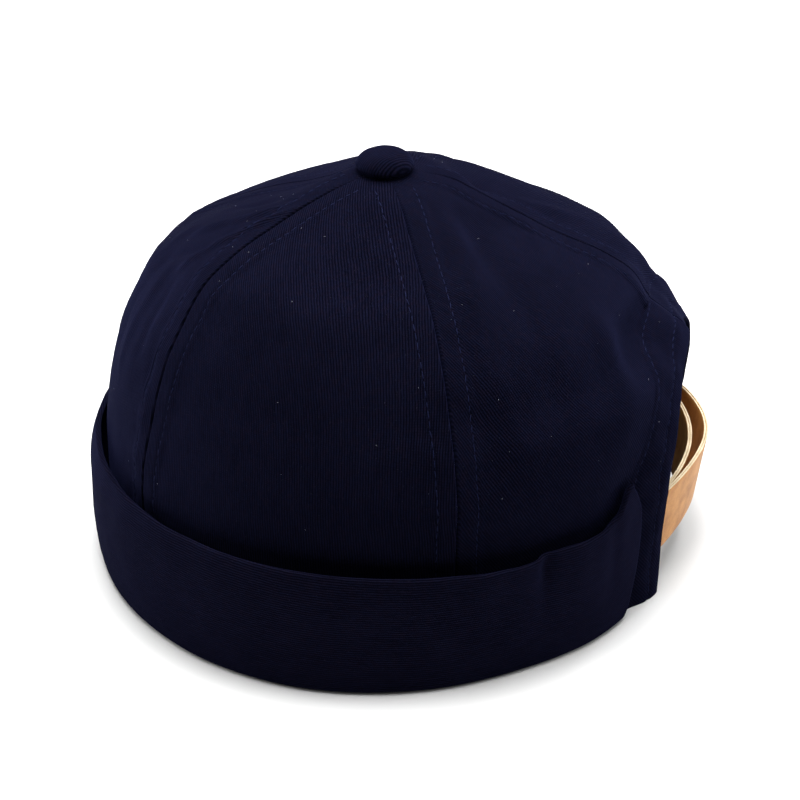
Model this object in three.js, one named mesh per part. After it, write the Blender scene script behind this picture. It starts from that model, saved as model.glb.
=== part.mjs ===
// Brimless sailor cap: a five-panel crown with a turned-up cuff, an arched opening at the back and a leather strap.
// Millimetres, +Z up. The front of the cap faces -Y, the back opening faces +Y, and the cap rests on z = 0.
// Directions round the cap are turns in degrees, from +X (the wearer's left) towards +Y (the back).
import * as THREE from 'three';

// Crown
const CROWN_RADIUS = 91;
const CROWN_HEIGHT = 136.5;
const CROWN_WALL = 1.4;
const CROWN_TOP_RADIUS = 4.5;
const CROWN_TOP_DROP = 2.2;
const PIECE_GAP = 0.3;

// Cuff
const CUFF_WALL = 2;
const CUFF_HEIGHT = 43.5;
const CUFF_STAND = 4.6;
const CUFF_FLARE = 1.2;
const CUFF_END_TURN = 58;
const CUFF_END_REACH = 14;
const CUFF_FOOT_FADE = 8;
const CUFF_CLEARANCE = 0.5;
const FOLD_ROUND = 0.35;
const FOOT_HEIGHT = 8;

// Back opening
const ARCH_HALF_WIDTH = 38;
const ARCH_HEIGHT = 76;
const FACING_WIDTH = 13.5;
const FACING_WALL = 1;
const FACING_DEPTH = CROWN_WALL + PIECE_GAP;

// Top button
const BUTTON_RADIUS = 9.3;
const BUTTON_DOME = 4.6;
const BUTTON_RIM = 1.6;
const BUTTON_PLATE_RADIUS = 6.5;
const BUTTON_PLATE = 0.9;

// Strap, buckle and tab. The strap's outer run bows out, folds round the buckle's near bar and comes back inside.
const STRAP_THICKNESS = 1.5;
const STRAP_WIDTH = 22;
const STRAP_TOP = 33;
const STRAP_RISE = 4.8;
const STRAP_BOW = 14;
const STRAP_BOW_SKEW = 1.1;
const STRAP_FULLNESS = 0.8;
const STRAP_LEAN = 0.6;
const STRAP_ANCHOR = 11;
const STRAP_CLEARANCE = 0.7;
const RUN_SPACING_LEFT = 1.9;
const RUN_SPACING_RIGHT = 6.2;
const SPACING_REACH = 0.75;
const RISE_REACH = 0.6;
const FOLD_AT = 0.96;
const RUN_SHARES = [0.06, 0.16, 0.28, 0.4, 0.5, 0.6, 0.72, 0.84, 0.92, FOLD_AT];
const HIDDEN_SHARES = [1, 0.6, 0.2];
const FOLD_SHARES = [0.25, 0.5, 0.75];
const BUCKLE_WIRE = 2.2;
const BUCKLE_REACH = 12.5;
const BUCKLE_CLEARANCE = 0.8;
const TAB_THICKNESS = 1.3;
const TAB_WIDTH = 18;
const TAB_LENGTH = 13;
const TAB_SLACK = 0.25;
const TAB_SHARES = [1, 0.6, 0.25];
const TAB_OPENING = 1.6;

// Slack in the cloth
const HEM_FLARE_LEFT = 6.4;
const HEM_FLARE_RIGHT = 2.5;
const HEM_FLARE_EASE = 0.75;
const HEM_FLARE_REACH = 15;
const BEAK_FLARE = 1.6;
const BEAK_REACH = 20;
const BACK_PUSH = 14;

// The five seams, each a profile from the rest surface to the button. Each column is a share of the crown's radius.
const SEAM_TURNS = { frontLeft: -56, left: 14, back: 90, right: 162, frontRight: 234 };
const SEAM_PROFILE = [
  { rise: 0.000, frontLeft: 1.000, left: 0.989, back: 1.000, right: 0.995, frontRight: 1.000 },
  { rise: 0.150, frontLeft: 1.006, left: 0.990, back: 1.004, right: 1.000, frontRight: 1.008 },
  { rise: 0.290, frontLeft: 1.010, left: 0.996, back: 1.022, right: 1.008, frontRight: 1.014 },
  { rise: 0.440, frontLeft: 0.986, left: 1.016, back: 1.050, right: 1.020, frontRight: 0.998 },
  { rise: 0.550, frontLeft: 0.950, left: 0.978, back: 1.048, right: 1.018, frontRight: 0.966 },
  { rise: 0.645, frontLeft: 0.902, left: 0.902, back: 0.936, right: 0.985, frontRight: 0.922 },
  { rise: 0.718, frontLeft: 0.846, left: 0.832, back: 0.874, right: 0.892, frontRight: 0.862 },
  { rise: 0.777, frontLeft: 0.790, left: 0.752, back: 0.758, right: 0.746, frontRight: 0.716 },
  { rise: 0.828, frontLeft: 0.730, left: 0.662, back: 0.594, right: 0.628, frontRight: 0.566 },
  { rise: 0.879, frontLeft: 0.612, left: 0.502, back: 0.452, right: 0.508, frontRight: 0.396 },
  { rise: 0.930, frontLeft: 0.402, left: 0.344, back: 0.320, right: 0.328, frontRight: 0.232 },
  { rise: 0.967, frontLeft: 0.232, left: 0.220, back: 0.210, right: 0.218, frontRight: 0.142 },
];

// How far each panel stands out between its seams, low down and near the top, as shares of the crown's radius.
const PANELS = [
  { name: 'panel_front', from: 'frontRight', to: 'frontLeft', lowBulge: 0.010, highBulge: -0.006 },
  { name: 'panel_left_side', from: 'frontLeft', to: 'left', lowBulge: 0.000, highBulge: 0.000 },
  { name: 'panel_left_back', from: 'left', to: 'back', lowBulge: 0.000, highBulge: 0.006 },
  { name: 'panel_right_back', from: 'back', to: 'right', lowBulge: 0.029, highBulge: 0.041 },
  { name: 'panel_right_side', from: 'right', to: 'frontRight', lowBulge: 0.000, highBulge: 0.033 },
];

// Dents and soft folds: the middle of each, its reach round and up, and its depth, all in shares.
const DENTS = [
  { turn: 72, rise: 0.630, reachTurn: 11, reachRise: 0.075, depth: -0.046 },
  { turn: 105, rise: 0.585, reachTurn: 11, reachRise: 0.060, depth: -0.036 },
  { turn: 60, rise: 0.900, reachTurn: 16, reachRise: 0.030, depth: -0.030 },
  { turn: 118, rise: 0.920, reachTurn: 20, reachRise: 0.035, depth: -0.040 },
  { turn: 38, rise: 0.700, reachTurn: 9, reachRise: 0.090, depth: 0.016 },
  { turn: 22, rise: 0.560, reachTurn: 6, reachRise: 0.090, depth: -0.012 },
  { turn: -100, rise: 0.800, reachTurn: 9, reachRise: 0.060, depth: 0.018 },
  { turn: -76, rise: 0.720, reachTurn: 8, reachRise: 0.070, depth: -0.014 },
  { turn: 200, rise: 0.700, reachTurn: 14, reachRise: 0.080, depth: -0.022 },
];

// The stiff strap pushes the right side of the back opening out. Each row is a share of that push.
const PUSH_TURN = 111;
const PUSH_REACH = 21;
const PUSH_BY_RISE = [
  { rise: 0.00, push: 0.62 },
  { rise: 0.15, push: 0.90 },
  { rise: 0.30, push: 1.00 },
  { rise: 0.45, push: 0.80 },
  { rise: 0.60, push: 0.30 },
  { rise: 0.75, push: 0.00 },
];

// The cuff round the cap: its height, and how far its edge and its foot stand out, in shares of its height.
const CUFF_EDGE = [
  { turn: -238, height: 1.160, out: -0.040, foot: 0.000 },
  { turn: -235, height: 1.170, out: -0.030, foot: 0.000 },
  { turn: -230, height: 1.020, out: 0.000, foot: 0.000 },
  { turn: -190, height: 1.000, out: 0.020, foot: 0.000 },
  { turn: -140, height: 1.020, out: 0.012, foot: 0.020 },
  { turn: -92, height: 1.020, out: 0.002, foot: 0.050 },
  { turn: -70, height: 1.010, out: -0.004, foot: 0.032 },
  { turn: -50, height: 1.010, out: 0.010, foot: 0.032 },
  { turn: -35, height: 1.010, out: 0.022, foot: 0.044 },
  { turn: -20, height: 1.010, out: 0.030, foot: 0.046 },
  { turn: 8, height: 0.980, out: 0.026, foot: 0.008 },
  { turn: 28, height: 0.955, out: 0.026, foot: -0.024 },
  { turn: 36, height: 0.975, out: 0.002, foot: -0.014 },
  { turn: 45, height: 0.955, out: 0.020, foot: 0.000 },
  { turn: 50, height: 1.000, out: 0.006, foot: 0.000 },
  { turn: 55, height: 1.170, out: -0.030, foot: 0.000 },
  { turn: 58, height: 1.160, out: -0.040, foot: 0.000 },
];

// The cuff's two ends are rounded: how far each end moves round the cap at each rise, in degrees.
const CUFF_END = [
  { rise: 0.00, turn: -3.0 },
  { rise: 0.25, turn: -1.6 },
  { rise: 0.50, turn: 0.6 },
  { rise: 0.75, turn: 1.0 },
  { rise: 0.90, turn: -0.4 },
  { rise: 1.00, turn: -3.0 },
];

// The cuff's section, from its fold on the rest surface to its edge: rise and outward share of its flare.
const CUFF_SECTION = [
  { rise: 0.035, out: -0.25 },
  { rise: 0.120, out: 0.45 },
  { rise: 0.300, out: 0.90 },
  { rise: 0.550, out: 1.00 },
  { rise: 0.800, out: 1.15 },
  { rise: 0.965, out: 0.75 },
];

// Mesh steps
const PANEL_COLUMNS = 8;
const ARCH_STEPS = 6;
const HEM_COLUMNS = 3;
const CUFF_STEPS = 60;
const CUFF_CROWDING = 1.25;
const STRAP_STEPS = 72;
const TAB_STEPS = 26;
const BUTTON_SIDES = 20;
const BUTTON_DOME_STEPS = 5;
const MIN_ROW = 4;
const MAX_ROW = 9;
const FINE_RISE = 0.9;

const COLORS = { twill: 0x14142a, cuffTwill: 0x10101f, leather: 0xb9793c, brass: 0xb5924c };

const radians = THREE.MathUtils.degToRad;
const share = (count) => Array.from({ length: count + 1 }, (unused, i) => i / count);

/** Smooth value of one column of a table at a place given by its key column. */
function lookUp(table, key, place, column) {
  const last = table.length - 1;
  if (place <= table[0][key]) return table[0][column];
  if (place >= table[last][key]) return table[last][column];
  let i = 0;
  while (table[i + 1][key] < place) i += 1;
  const slope = (j) => {
    if (j <= 0 || j >= last) return (table[i + 1][column] - table[i][column]) / (table[i + 1][key] - table[i][key]);
    const before = (table[j][column] - table[j - 1][column]) / (table[j][key] - table[j - 1][key]);
    const after = (table[j + 1][column] - table[j][column]) / (table[j + 1][key] - table[j][key]);
    return before * after <= 0 ? 0 : (2 * before * after) / (before + after);
  };
  const span = table[i + 1][key] - table[i][key];
  const t = (place - table[i][key]) / span;
  const t2 = t * t;
  const t3 = t2 * t;
  return (2 * t3 - 3 * t2 + 1) * table[i][column] + (t3 - 2 * t2 + t) * span * slope(i)
    + (3 * t2 - 2 * t3) * table[i + 1][column] + (t3 - t2) * span * slope(i + 1);
}

/** 1 at zero distance, falling smoothly to 0 at the reach. */
const fade = (distance, reach) => 1 - THREE.MathUtils.smoothstep(Math.abs(distance), 0, reach);

const bell = (offset, reach) => Math.exp(-((offset / reach) ** 2));

/** Signed difference of two turns, in degrees, within half a circle. */
const turnFrom = (turn, middle) => THREE.MathUtils.euclideanModulo(turn - middle + 180, 360) - 180;

/** Turn from one seam to another, going round towards the back. */
const turnsBetween = (from, to) => THREE.MathUtils.euclideanModulo(SEAM_TURNS[to] - SEAM_TURNS[from], 360);

const roundRow = (rise, radius) => Object.keys(SEAM_TURNS)
  .reduce((row, seam) => ({ ...row, [seam]: radius / CROWN_RADIUS }), { rise });
const BUTTON_RISE = 1 - CROWN_TOP_DROP / CROWN_HEIGHT;
const SEAM_ROWS = [...SEAM_PROFILE, roundRow(BUTTON_RISE, BUTTON_RADIUS), roundRow(1, CROWN_TOP_RADIUS)];

/** The panel that a turn falls in, and how far across it the turn lies, from 0 to 1. */
function panelAt(turn) {
  const across = (panel) => THREE.MathUtils.euclideanModulo(turn - SEAM_TURNS[panel.from], 360);
  const panel = PANELS.find((one) => across(one) <= turnsBetween(one.from, one.to));
  return { panel, across: across(panel) / turnsBetween(panel.from, panel.to) };
}

const pushAt = (turn, rise) => BACK_PUSH * bell(turnFrom(turn, PUSH_TURN), PUSH_REACH)
  * lookUp(PUSH_BY_RISE, 'rise', rise, 'push');

/** Outer radius of the slack crown before its hem turns out. */
function crownRadius(turn, rise) {
  const { panel, across } = panelAt(turn);
  const blend = 0.5 - 0.5 * Math.cos(Math.PI * across);
  const seams = lookUp(SEAM_ROWS, 'rise', rise, panel.from) * (1 - blend)
    + lookUp(SEAM_ROWS, 'rise', rise, panel.to) * blend;
  const low = panel.lowBulge * Math.sin(Math.PI * THREE.MathUtils.clamp(rise / 0.7, 0, 1));
  const high = panel.highBulge * Math.sin(Math.PI * THREE.MathUtils.clamp((rise - 0.5) / (BUTTON_RISE - 0.5), 0, 1));
  let radius = seams + (low + high) * Math.sin(Math.PI * across) ** 2;
  for (const dent of DENTS) {
    radius += dent.depth * bell(turnFrom(turn, dent.turn), dent.reachTurn) * bell(rise - dent.rise, dent.reachRise);
  }
  return radius * CROWN_RADIUS + pushAt(turn, rise);
}

// The back opening has upright sides up to its spring, then half a circle.
const ARCH_SPRING = ARCH_HEIGHT - ARCH_HALF_WIDTH;

/** Distance of a place, seen from the back, outside the opening's outline. */
function besideArch(x, height) {
  if (height <= ARCH_SPRING) return Math.abs(x) - ARCH_HALF_WIDTH;
  return Math.hypot(x, height - ARCH_SPRING) - ARCH_HALF_WIDTH;
}

/** Radius of the crown's outer face, with its hem turned out round the opening. */
function wallRadius(turn, height) {
  const plain = crownRadius(turn, height / CROWN_HEIGHT);
  const x = plain * Math.cos(radians(turn));
  if (Math.sin(radians(turn)) < 0) return plain;
  const beside = Math.max(besideArch(x, height), 0);
  const upTheArch = THREE.MathUtils.clamp((height - ARCH_SPRING) / ARCH_HALF_WIDTH, 0, 1);
  const side = x > 0 ? HEM_FLARE_LEFT : HEM_FLARE_RIGHT;
  const flare = side * (1 - HEM_FLARE_EASE * upTheArch) * fade(beside, HEM_FLARE_REACH);
  const beak = BEAK_FLARE * bell(x, BEAK_REACH / 2) * upTheArch * fade(beside, BEAK_REACH);
  return plain + flare + beak;
}

/** Point at a radius in the direction of a turn. */
const polar = (turn, radius, height) => new THREE.Vector3(
  radius * Math.cos(radians(turn)),
  radius * Math.sin(radians(turn)),
  height,
);

const outerPoint = (turn, height) => polar(turn, wallRadius(turn, height), height);

/** Point at a depth inside the crown's outer face, square to it, and level at the rest surface. */
function crownPoint(turn, height, depth) {
  const step = 0.4;
  const along = outerPoint(turn + step, height).sub(outerPoint(turn - step, height));
  const above = outerPoint(turn, Math.min(height + step, CROWN_HEIGHT));
  const inward = above.sub(outerPoint(turn, Math.max(height - step, 0))).cross(along).normalize();
  inward.z *= Math.min(1, height / FOOT_HEIGHT);
  return outerPoint(turn, height).addScaledVector(inward.normalize(), depth);
}

/** Turn at which the crown's outer face lies at a given x, on the cap's back half. */
function turnAtX(x, height) {
  let low = 0;
  let high = 180;
  for (let i = 0; i < 40; i += 1) {
    const middle = (low + high) / 2;
    if (outerPoint(middle, height).x > x) low = middle;
    else high = middle;
  }
  return (low + high) / 2;
}

/** Closed body of a sheet made of patches of nodes, each node with its point on the outer and the inner face. */
function sheetBody(patches, outerFace, innerFace) {
  const index = new Map();
  const nodes = [];
  const number = (node) => {
    const key = node.map((value) => value.toFixed(5)).join();
    if (!index.has(key)) {
      index.set(key, nodes.length);
      nodes.push(node);
    }
    return index.get(key);
  };
  const quads = patches.flatMap((rows) => rows.slice(1).flatMap((row, i) => row.slice(1).map(
    (node, j) => [rows[i][j], rows[i][j + 1], node, rows[i + 1][j]].map(number),
  )));
  const edges = new Map();
  for (const quad of quads) quad.forEach((a, i) => edges.set(`${a},${quad[(i + 1) % 4]}`, [a, quad[(i + 1) % 4]]));
  const faces = [];
  const addQuad = (a, b, c, d) => faces.push(a, b, c, a, c, d);
  const inner = nodes.length;
  for (const [a, b, c, d] of quads) {
    addQuad(a, b, c, d);
    addQuad(inner + a, inner + d, inner + c, inner + b);
  }
  for (const [a, b] of edges.values()) {
    if (!edges.has(`${b},${a}`)) addQuad(b, a, inner + a, inner + b);
  }
  const points = [...nodes.map((node) => outerFace(...node)), ...nodes.map((node) => innerFace(...node))];
  let volume = 0;
  for (let i = 0; i < faces.length; i += 3) {
    volume += points[faces[i]].dot(points[faces[i + 1]].clone().cross(points[faces[i + 2]]));
  }
  const geometry = new THREE.BufferGeometry();
  geometry.setAttribute('position', new THREE.Float32BufferAttribute(points.flatMap((p) => p.toArray()), 3));
  geometry.setIndex(volume > 0 ? faces : faces.reverse());
  geometry.computeVertexNormals();
  return geometry;
}

/** Places on the outline of the opening, set out by a distance: x and height, from a foot to the top. */
function archSide(side, outside) {
  const reach = ARCH_HALF_WIDTH + outside;
  const leg = [0, 0.5].map((part) => [side * reach, part * ARCH_SPRING]);
  const curve = share(ARCH_STEPS).map((part) => {
    const angle = (Math.PI / 2) * part;
    return [side * reach * Math.cos(angle), ARCH_SPRING + reach * Math.sin(angle)];
  });
  return [...leg, ...curve];
}

const seamTurn = (seam, height, towards) => SEAM_TURNS[seam]
  + towards * THREE.MathUtils.radToDeg(PIECE_GAP / 2 / wallRadius(SEAM_TURNS[seam], height));

/** Nodes of the hem beside the opening, in columns set out from the edge, as turns and heights. */
function hemPatch(side, clearance) {
  return share(HEM_COLUMNS).map((part) => archSide(side, part * FACING_WIDTH).map(([x, height]) => {
    const turn = turnAtX(x, height);
    if (!clearance) return [turn, height];
    const limit = seamTurn('back', height, -side);
    return [side > 0 ? Math.min(turn, limit) : Math.max(turn, limit), height];
  }));
}

/** Heights of the rows of a panel's mesh from a start to the top, closer near the button. */
function rowHeights(start) {
  const rows = [];
  for (const { rise } of SEAM_ROWS) {
    const height = rise * CROWN_HEIGHT;
    const below = rows.length ? rows[rows.length - 1] : start;
    if (height <= start + MIN_ROW) continue;
    if (height - below > MAX_ROW || (rise > FINE_RISE && rise < BUTTON_RISE)) rows.push((below + height) / 2);
    rows.push(height);
  }
  return rows;
}

const across = (start, end) => share(PANEL_COLUMNS).map((part) => [
  start[0] + (end[0] - start[0]) * part,
  start[1] + (end[1] - start[1]) * part,
]);

/** Patches of a panel between two seams, going round the opening where the panel has a side on it. */
function panelPatches({ from, to }) {
  const fromTurn = (height) => seamTurn(from, height, 1);
  const toTurn = (height) => fromTurn(height)
    + THREE.MathUtils.euclideanModulo(seamTurn(to, height, -1) - fromTurn(height), 360);
  const level = (height) => across([fromTurn(height), height], [toTurn(height), height]);
  if (from !== 'back' && to !== 'back') return [[0, ...rowHeights(0)].map(level)];
  const hem = hemPatch(to === 'back' ? 1 : -1, true);
  const besideHem = hem[HEM_COLUMNS].map((node) => (to === 'back'
    ? across([fromTurn(node[1]), node[1]], node) : across(node, [toTurn(node[1]), node[1]])));
  const crest = ARCH_HEIGHT + FACING_WIDTH;
  return [to === 'back' ? hem : hem.slice().reverse(), [...besideHem, ...rowHeights(crest).map(level)]];
}

const layer = (depth) => (turn, height) => crownPoint(turn, height, depth);
const crownPanel = (panel) => sheetBody(panelPatches(panel), layer(0), layer(CROWN_WALL));

/** Strip of cloth inside the hem of the opening, from one foot over the top to the other. */
function backFacing() {
  const left = hemPatch(1, false);
  const right = hemPatch(-1, false);
  const whole = left.map((column, i) => [...column, ...right[i].slice(0, -1).reverse()]);
  return sheetBody([whole], layer(FACING_DEPTH), layer(FACING_DEPTH + FACING_WALL));
}

/** Point of the cuff's outer face at a rise from 0 to 1 of its own height. */
function cuffPoint(turn, rise, inside) {
  const height = rise * CUFF_HEIGHT * lookUp(CUFF_EDGE, 'turn', turn, 'height');
  const lean = CUFF_HEIGHT * lookUp(CUFF_EDGE, 'turn', turn, 'out') * rise ** 2;
  const flare = CUFF_FLARE * lookUp(CUFF_SECTION, 'rise', rise, 'out');
  const foot = CUFF_HEIGHT * lookUp(CUFF_EDGE, 'turn', turn, 'foot') * (1 - rise ** CUFF_FOOT_FADE);
  const base = CROWN_RADIUS + CUFF_STAND + foot + pushAt(turn, height / CROWN_HEIGHT);
  const clear = wallRadius(turn, height) + CUFF_CLEARANCE + CUFF_WALL;
  return polar(turn, Math.max(base + flare + lean, clear) - inside, height);
}

/** Turn of the cuff's place at a rise, with its ends rounded. */
function roundedEnd(turn, rise) {
  const side = turn < -90 ? -1 : 1;
  const toEnd = 90 + CUFF_END_TURN - Math.abs(turn + 90);
  return turn + side * lookUp(CUFF_END, 'rise', rise, 'turn') * fade(toEnd, CUFF_END_REACH);
}

/** Outer and inner points of the cuff's section at a turn: its flat fold, then its standing wall. */
function cuffSection(place) {
  const turn = roundedEnd(place, 0);
  const foot = wallRadius(turn, 0) + CUFF_CLEARANCE;
  const corner = Math.hypot(...cuffPoint(turn, CUFF_SECTION[0].rise, 0).toArray().slice(0, 2));
  const flatEnd = corner - FOLD_ROUND * CUFF_WALL;
  const outer = [foot, (foot + flatEnd) / 2, flatEnd].map((radius) => polar(turn, radius, 0));
  const inner = [foot, (foot + flatEnd) / 2, Math.min(flatEnd, corner - CUFF_WALL)]
    .map((radius, i) => polar(turn, radius, CUFF_WALL * (i === 2 ? 1 : 0.85)));
  for (const { rise } of CUFF_SECTION) {
    const inside = Math.max(rise, CUFF_SECTION[0].rise + CUFF_WALL / CUFF_HEIGHT);
    outer.push(cuffPoint(roundedEnd(place, rise), rise, 0));
    inner.push(cuffPoint(roundedEnd(place, rise), inside, CUFF_WALL));
  }
  return { outer, inner };
}

function turnedUpCuff() {
  const reach = 90 + CUFF_END_TURN;
  const turns = share(CUFF_STEPS).map((part) => {
    const toEnd = 1 - Math.abs(2 * part - 1);
    return -90 + Math.sign(part - 0.5) * reach * (1 - toEnd ** CUFF_CROWDING);
  });
  const sections = new Map(turns.map((turn) => [turn, cuffSection(turn)]));
  const columns = share(sections.get(turns[0]).outer.length - 1).map((part, i) => i);
  const patch = turns.map((turn) => columns.map((i) => [turn, i]));
  return sheetBody([patch], (turn, i) => sections.get(turn).outer[i], (turn, i) => sections.get(turn).inner[i]);
}

/** Domed button on the crown's top, with a neck through its hole and a plate inside. */
function topButton() {
  const slope = CROWN_TOP_DROP / (BUTTON_RADIUS - CROWN_TOP_RADIUS);
  const seat = (radius) => CROWN_HEIGHT - slope * (radius - CROWN_TOP_RADIUS);
  const upright = Math.hypot(1, slope);
  const above = (radius) => new THREE.Vector2(radius, seat(radius) + PIECE_GAP * upright);
  const below = (radius) => new THREE.Vector2(radius, seat(radius) - (CROWN_WALL + PIECE_GAP) * upright);
  const neck = CROWN_TOP_RADIUS - CROWN_WALL - PIECE_GAP;
  const rim = above(BUTTON_RADIUS - BUTTON_RIM / 2);
  const plate = below(BUTTON_PLATE_RADIUS);
  const dome = share(BUTTON_DOME_STEPS).map((part) => new THREE.Vector2(
    part === 1 ? 0 : BUTTON_RADIUS * Math.cos((Math.PI / 2) * part),
    rim.y + BUTTON_RIM + BUTTON_DOME * Math.sin((Math.PI / 2) * part),
  ));
  const profile = [
    new THREE.Vector2(0, plate.y - BUTTON_PLATE),
    new THREE.Vector2(BUTTON_PLATE_RADIUS, plate.y - BUTTON_PLATE),
    plate,
    below(neck),
    above(neck),
    rim,
    ...dome,
  ];
  return new THREE.LatheGeometry(profile, BUTTON_SIDES).rotateX(Math.PI / 2);
}

const insideFacing = FACING_DEPTH + FACING_WALL + STRAP_CLEARANCE;

/** Place in plan at a given x, height and depth inside the hem. */
function hemPlan(x, height, depth) {
  const point = crownPoint(turnAtX(x, height), height, depth);
  return new THREE.Vector3(point.x, point.y, 0);
}

/** Place in plan on the strap's bow, at a share of its span, a distance inside its face and below its top edge. */
function bowPlan(part, inside, drop) {
  const left = hemPlan(ARCH_HALF_WIDTH, STRAP_TOP - drop, insideFacing);
  const chord = hemPlan(-ARCH_HALF_WIDTH, STRAP_TOP + STRAP_RISE - drop, insideFacing).sub(left);
  const outward = new THREE.Vector3(chord.y, -chord.x, 0).normalize();
  const lean = STRAP_LEAN * (drop / STRAP_WIDTH) * Math.sin(Math.PI * part);
  const bow = STRAP_BOW * Math.sin(Math.PI * part ** STRAP_BOW_SKEW) ** STRAP_FULLNESS;
  return left.addScaledVector(chord, part).addScaledVector(outward, bow - lean - inside);
}

/** Body of a leather band along a plan worked out for each drop below its top edge. */
function leatherBand(plan, topAt, width, thickness, steps) {
  const lines = [0, width].map((drop) => {
    const curve = new THREE.CatmullRomCurve3(plan(drop), false, 'centripetal');
    return share(steps).map((part) => ({
      drop,
      height: topAt(part),
      point: curve.getPointAt(part),
      side: curve.getTangentAt(part).cross(new THREE.Vector3(0, 0, 1)),
    }));
  });
  const face = (offset) => (i, level) => {
    const { drop, height, point, side } = lines[level][i];
    return point.clone().addScaledVector(side, offset).setZ(height - drop);
  };
  const patch = share(steps).map((part, i) => [[i, 0], [i, 1]]);
  return sheetBody([patch], face(thickness / 2), face(-thickness / 2));
}

/** Distance between the middles of the strap's two runs, at a share of its span. */
const runSpacing = (part) => THREE.MathUtils.lerp(
  RUN_SPACING_LEFT,
  RUN_SPACING_RIGHT,
  THREE.MathUtils.smoothstep(part, 0, SPACING_REACH),
);
const foldRadius = runSpacing(FOLD_AT) / 2;
const foldMiddle = (drop) => bowPlan(FOLD_AT, STRAP_THICKNESS / 2 + foldRadius, drop);

/** One band: its hidden end, the outer run, the fold round the buckle's bar and the inner run. */
function strap() {
  const half = STRAP_THICKNESS / 2;
  const plan = (drop) => {
    const hidden = (part, inside) => hemPlan(
      ARCH_HALF_WIDTH + part * STRAP_ANCHOR,
      STRAP_TOP - drop,
      insideFacing + half + inside,
    );
    const outerRun = RUN_SHARES.map((part) => bowPlan(part, half, drop));
    const innerRun = RUN_SHARES.map((part) => bowPlan(part, half + runSpacing(part), drop)).reverse();
    const middle = foldMiddle(drop);
    const across = outerRun[outerRun.length - 1].clone().sub(middle);
    const onward = new THREE.Vector3(-across.y, across.x, 0);
    const fold = FOLD_SHARES.map((part) => middle.clone()
      .addScaledVector(across, Math.cos(Math.PI * part))
      .addScaledVector(onward, Math.sin(Math.PI * part)));
    const outerEnd = HIDDEN_SHARES.map((part) => hidden(part, 0));
    const innerEnd = HIDDEN_SHARES.slice(1).map((part) => hidden(part, RUN_SPACING_LEFT)).reverse();
    return [...outerEnd, ...outerRun, ...fold, ...innerRun, ...innerEnd];
  };
  const spread = (part) => THREE.MathUtils.clamp((1 - 2 * Math.abs(part - 0.5)) / RISE_REACH, 0, 1);
  const topAt = (part) => STRAP_TOP + STRAP_RISE * THREE.MathUtils.smoothstep(spread(part), 0, 1);
  return leatherBand(plan, topAt, STRAP_WIDTH, STRAP_THICKNESS, STRAP_STEPS);
}

const tabFoldRadius = (BUCKLE_WIRE * Math.SQRT2) / 2 + PIECE_GAP + TAB_SLACK + TAB_THICKNESS / 2;
const tabDepth = insideFacing + TAB_THICKNESS / 2;

/** Place in plan of the tab's middle line, at a share of its length beyond the far bar and a depth inside the tab. */
const tabPlan = (part, inside, height) => hemPlan(
  foldMiddle(STRAP_WIDTH / 2).x - BUCKLE_REACH - part * TAB_LENGTH,
  height,
  tabDepth + inside,
);

/** Plain rectangular loop between the strap's fold and the tab. */
function buckle() {
  const height = STRAP_WIDTH + 2 * (BUCKLE_WIRE + BUCKLE_CLEARANCE);
  const middleHeight = STRAP_TOP + STRAP_RISE - STRAP_WIDTH / 2;
  const near = foldMiddle(STRAP_WIDTH / 2).setZ(middleHeight);
  const far = tabPlan(0, tabFoldRadius, middleHeight).setZ(middleHeight);
  const up = foldMiddle(0).setZ(STRAP_WIDTH).sub(foldMiddle(STRAP_WIDTH)).normalize();
  const along = far.clone().sub(near).addScaledVector(up, -far.clone().sub(near).dot(up));
  const length = along.length() + BUCKLE_WIRE;
  const loop = (path, inset) => {
    const x = length / 2 - inset;
    const y = height / 2 - inset;
    return path.moveTo(-x, -y).lineTo(x, -y).lineTo(x, y).lineTo(-x, y).closePath();
  };
  const outline = new THREE.Shape();
  const hole = new THREE.Path();
  loop(outline, 0);
  loop(hole, BUCKLE_WIRE);
  outline.holes.push(hole);
  const geometry = new THREE.ExtrudeGeometry(outline, { depth: BUCKLE_WIRE, bevelEnabled: false });
  geometry.translate(0, 0, -BUCKLE_WIRE / 2);
  along.normalize();
  geometry.applyMatrix4(new THREE.Matrix4().makeBasis(along, up, along.clone().cross(up)));
  const middle = near.add(far).multiplyScalar(0.5);
  return geometry.translate(middle.x, middle.y, middle.z);
}

/** Short band folded round the buckle's far bar, with both ends against the facing. */
function strapTab() {
  const top = STRAP_TOP + STRAP_RISE - (STRAP_WIDTH - TAB_WIDTH) / 2;
  const doubled = TAB_THICKNESS + 2 * PIECE_GAP;
  const plan = (drop) => {
    const leg = (part, inside) => tabPlan(part, inside, top - drop);
    const bar = leg(0, tabFoldRadius);
    const out = leg(0, 0).sub(bar);
    const onward = new THREE.Vector3(out.y, -out.x, 0);
    const fold = [0, ...FOLD_SHARES, 1].map((part) => bar.clone()
      .addScaledVector(out, Math.cos(Math.PI * part))
      .addScaledVector(onward, Math.sin(Math.PI * part)));
    const [end, middle, near] = TAB_SHARES;
    const outerLeg = TAB_SHARES.map((part) => leg(part, 0));
    return [...outerLeg, ...fold, leg(near, TAB_OPENING * tabFoldRadius), leg(middle, doubled), leg(end, doubled)];
  };
  return leatherBand(plan, () => top, TAB_WIDTH, TAB_THICKNESS, TAB_STEPS);
}

const cap = new THREE.Group();

function add(name, geometry, color, roughness, metalness) {
  const mesh = new THREE.Mesh(geometry, new THREE.MeshStandardMaterial({ color, roughness, metalness }));
  mesh.name = name;
  cap.add(mesh);
  return mesh;
}

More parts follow.
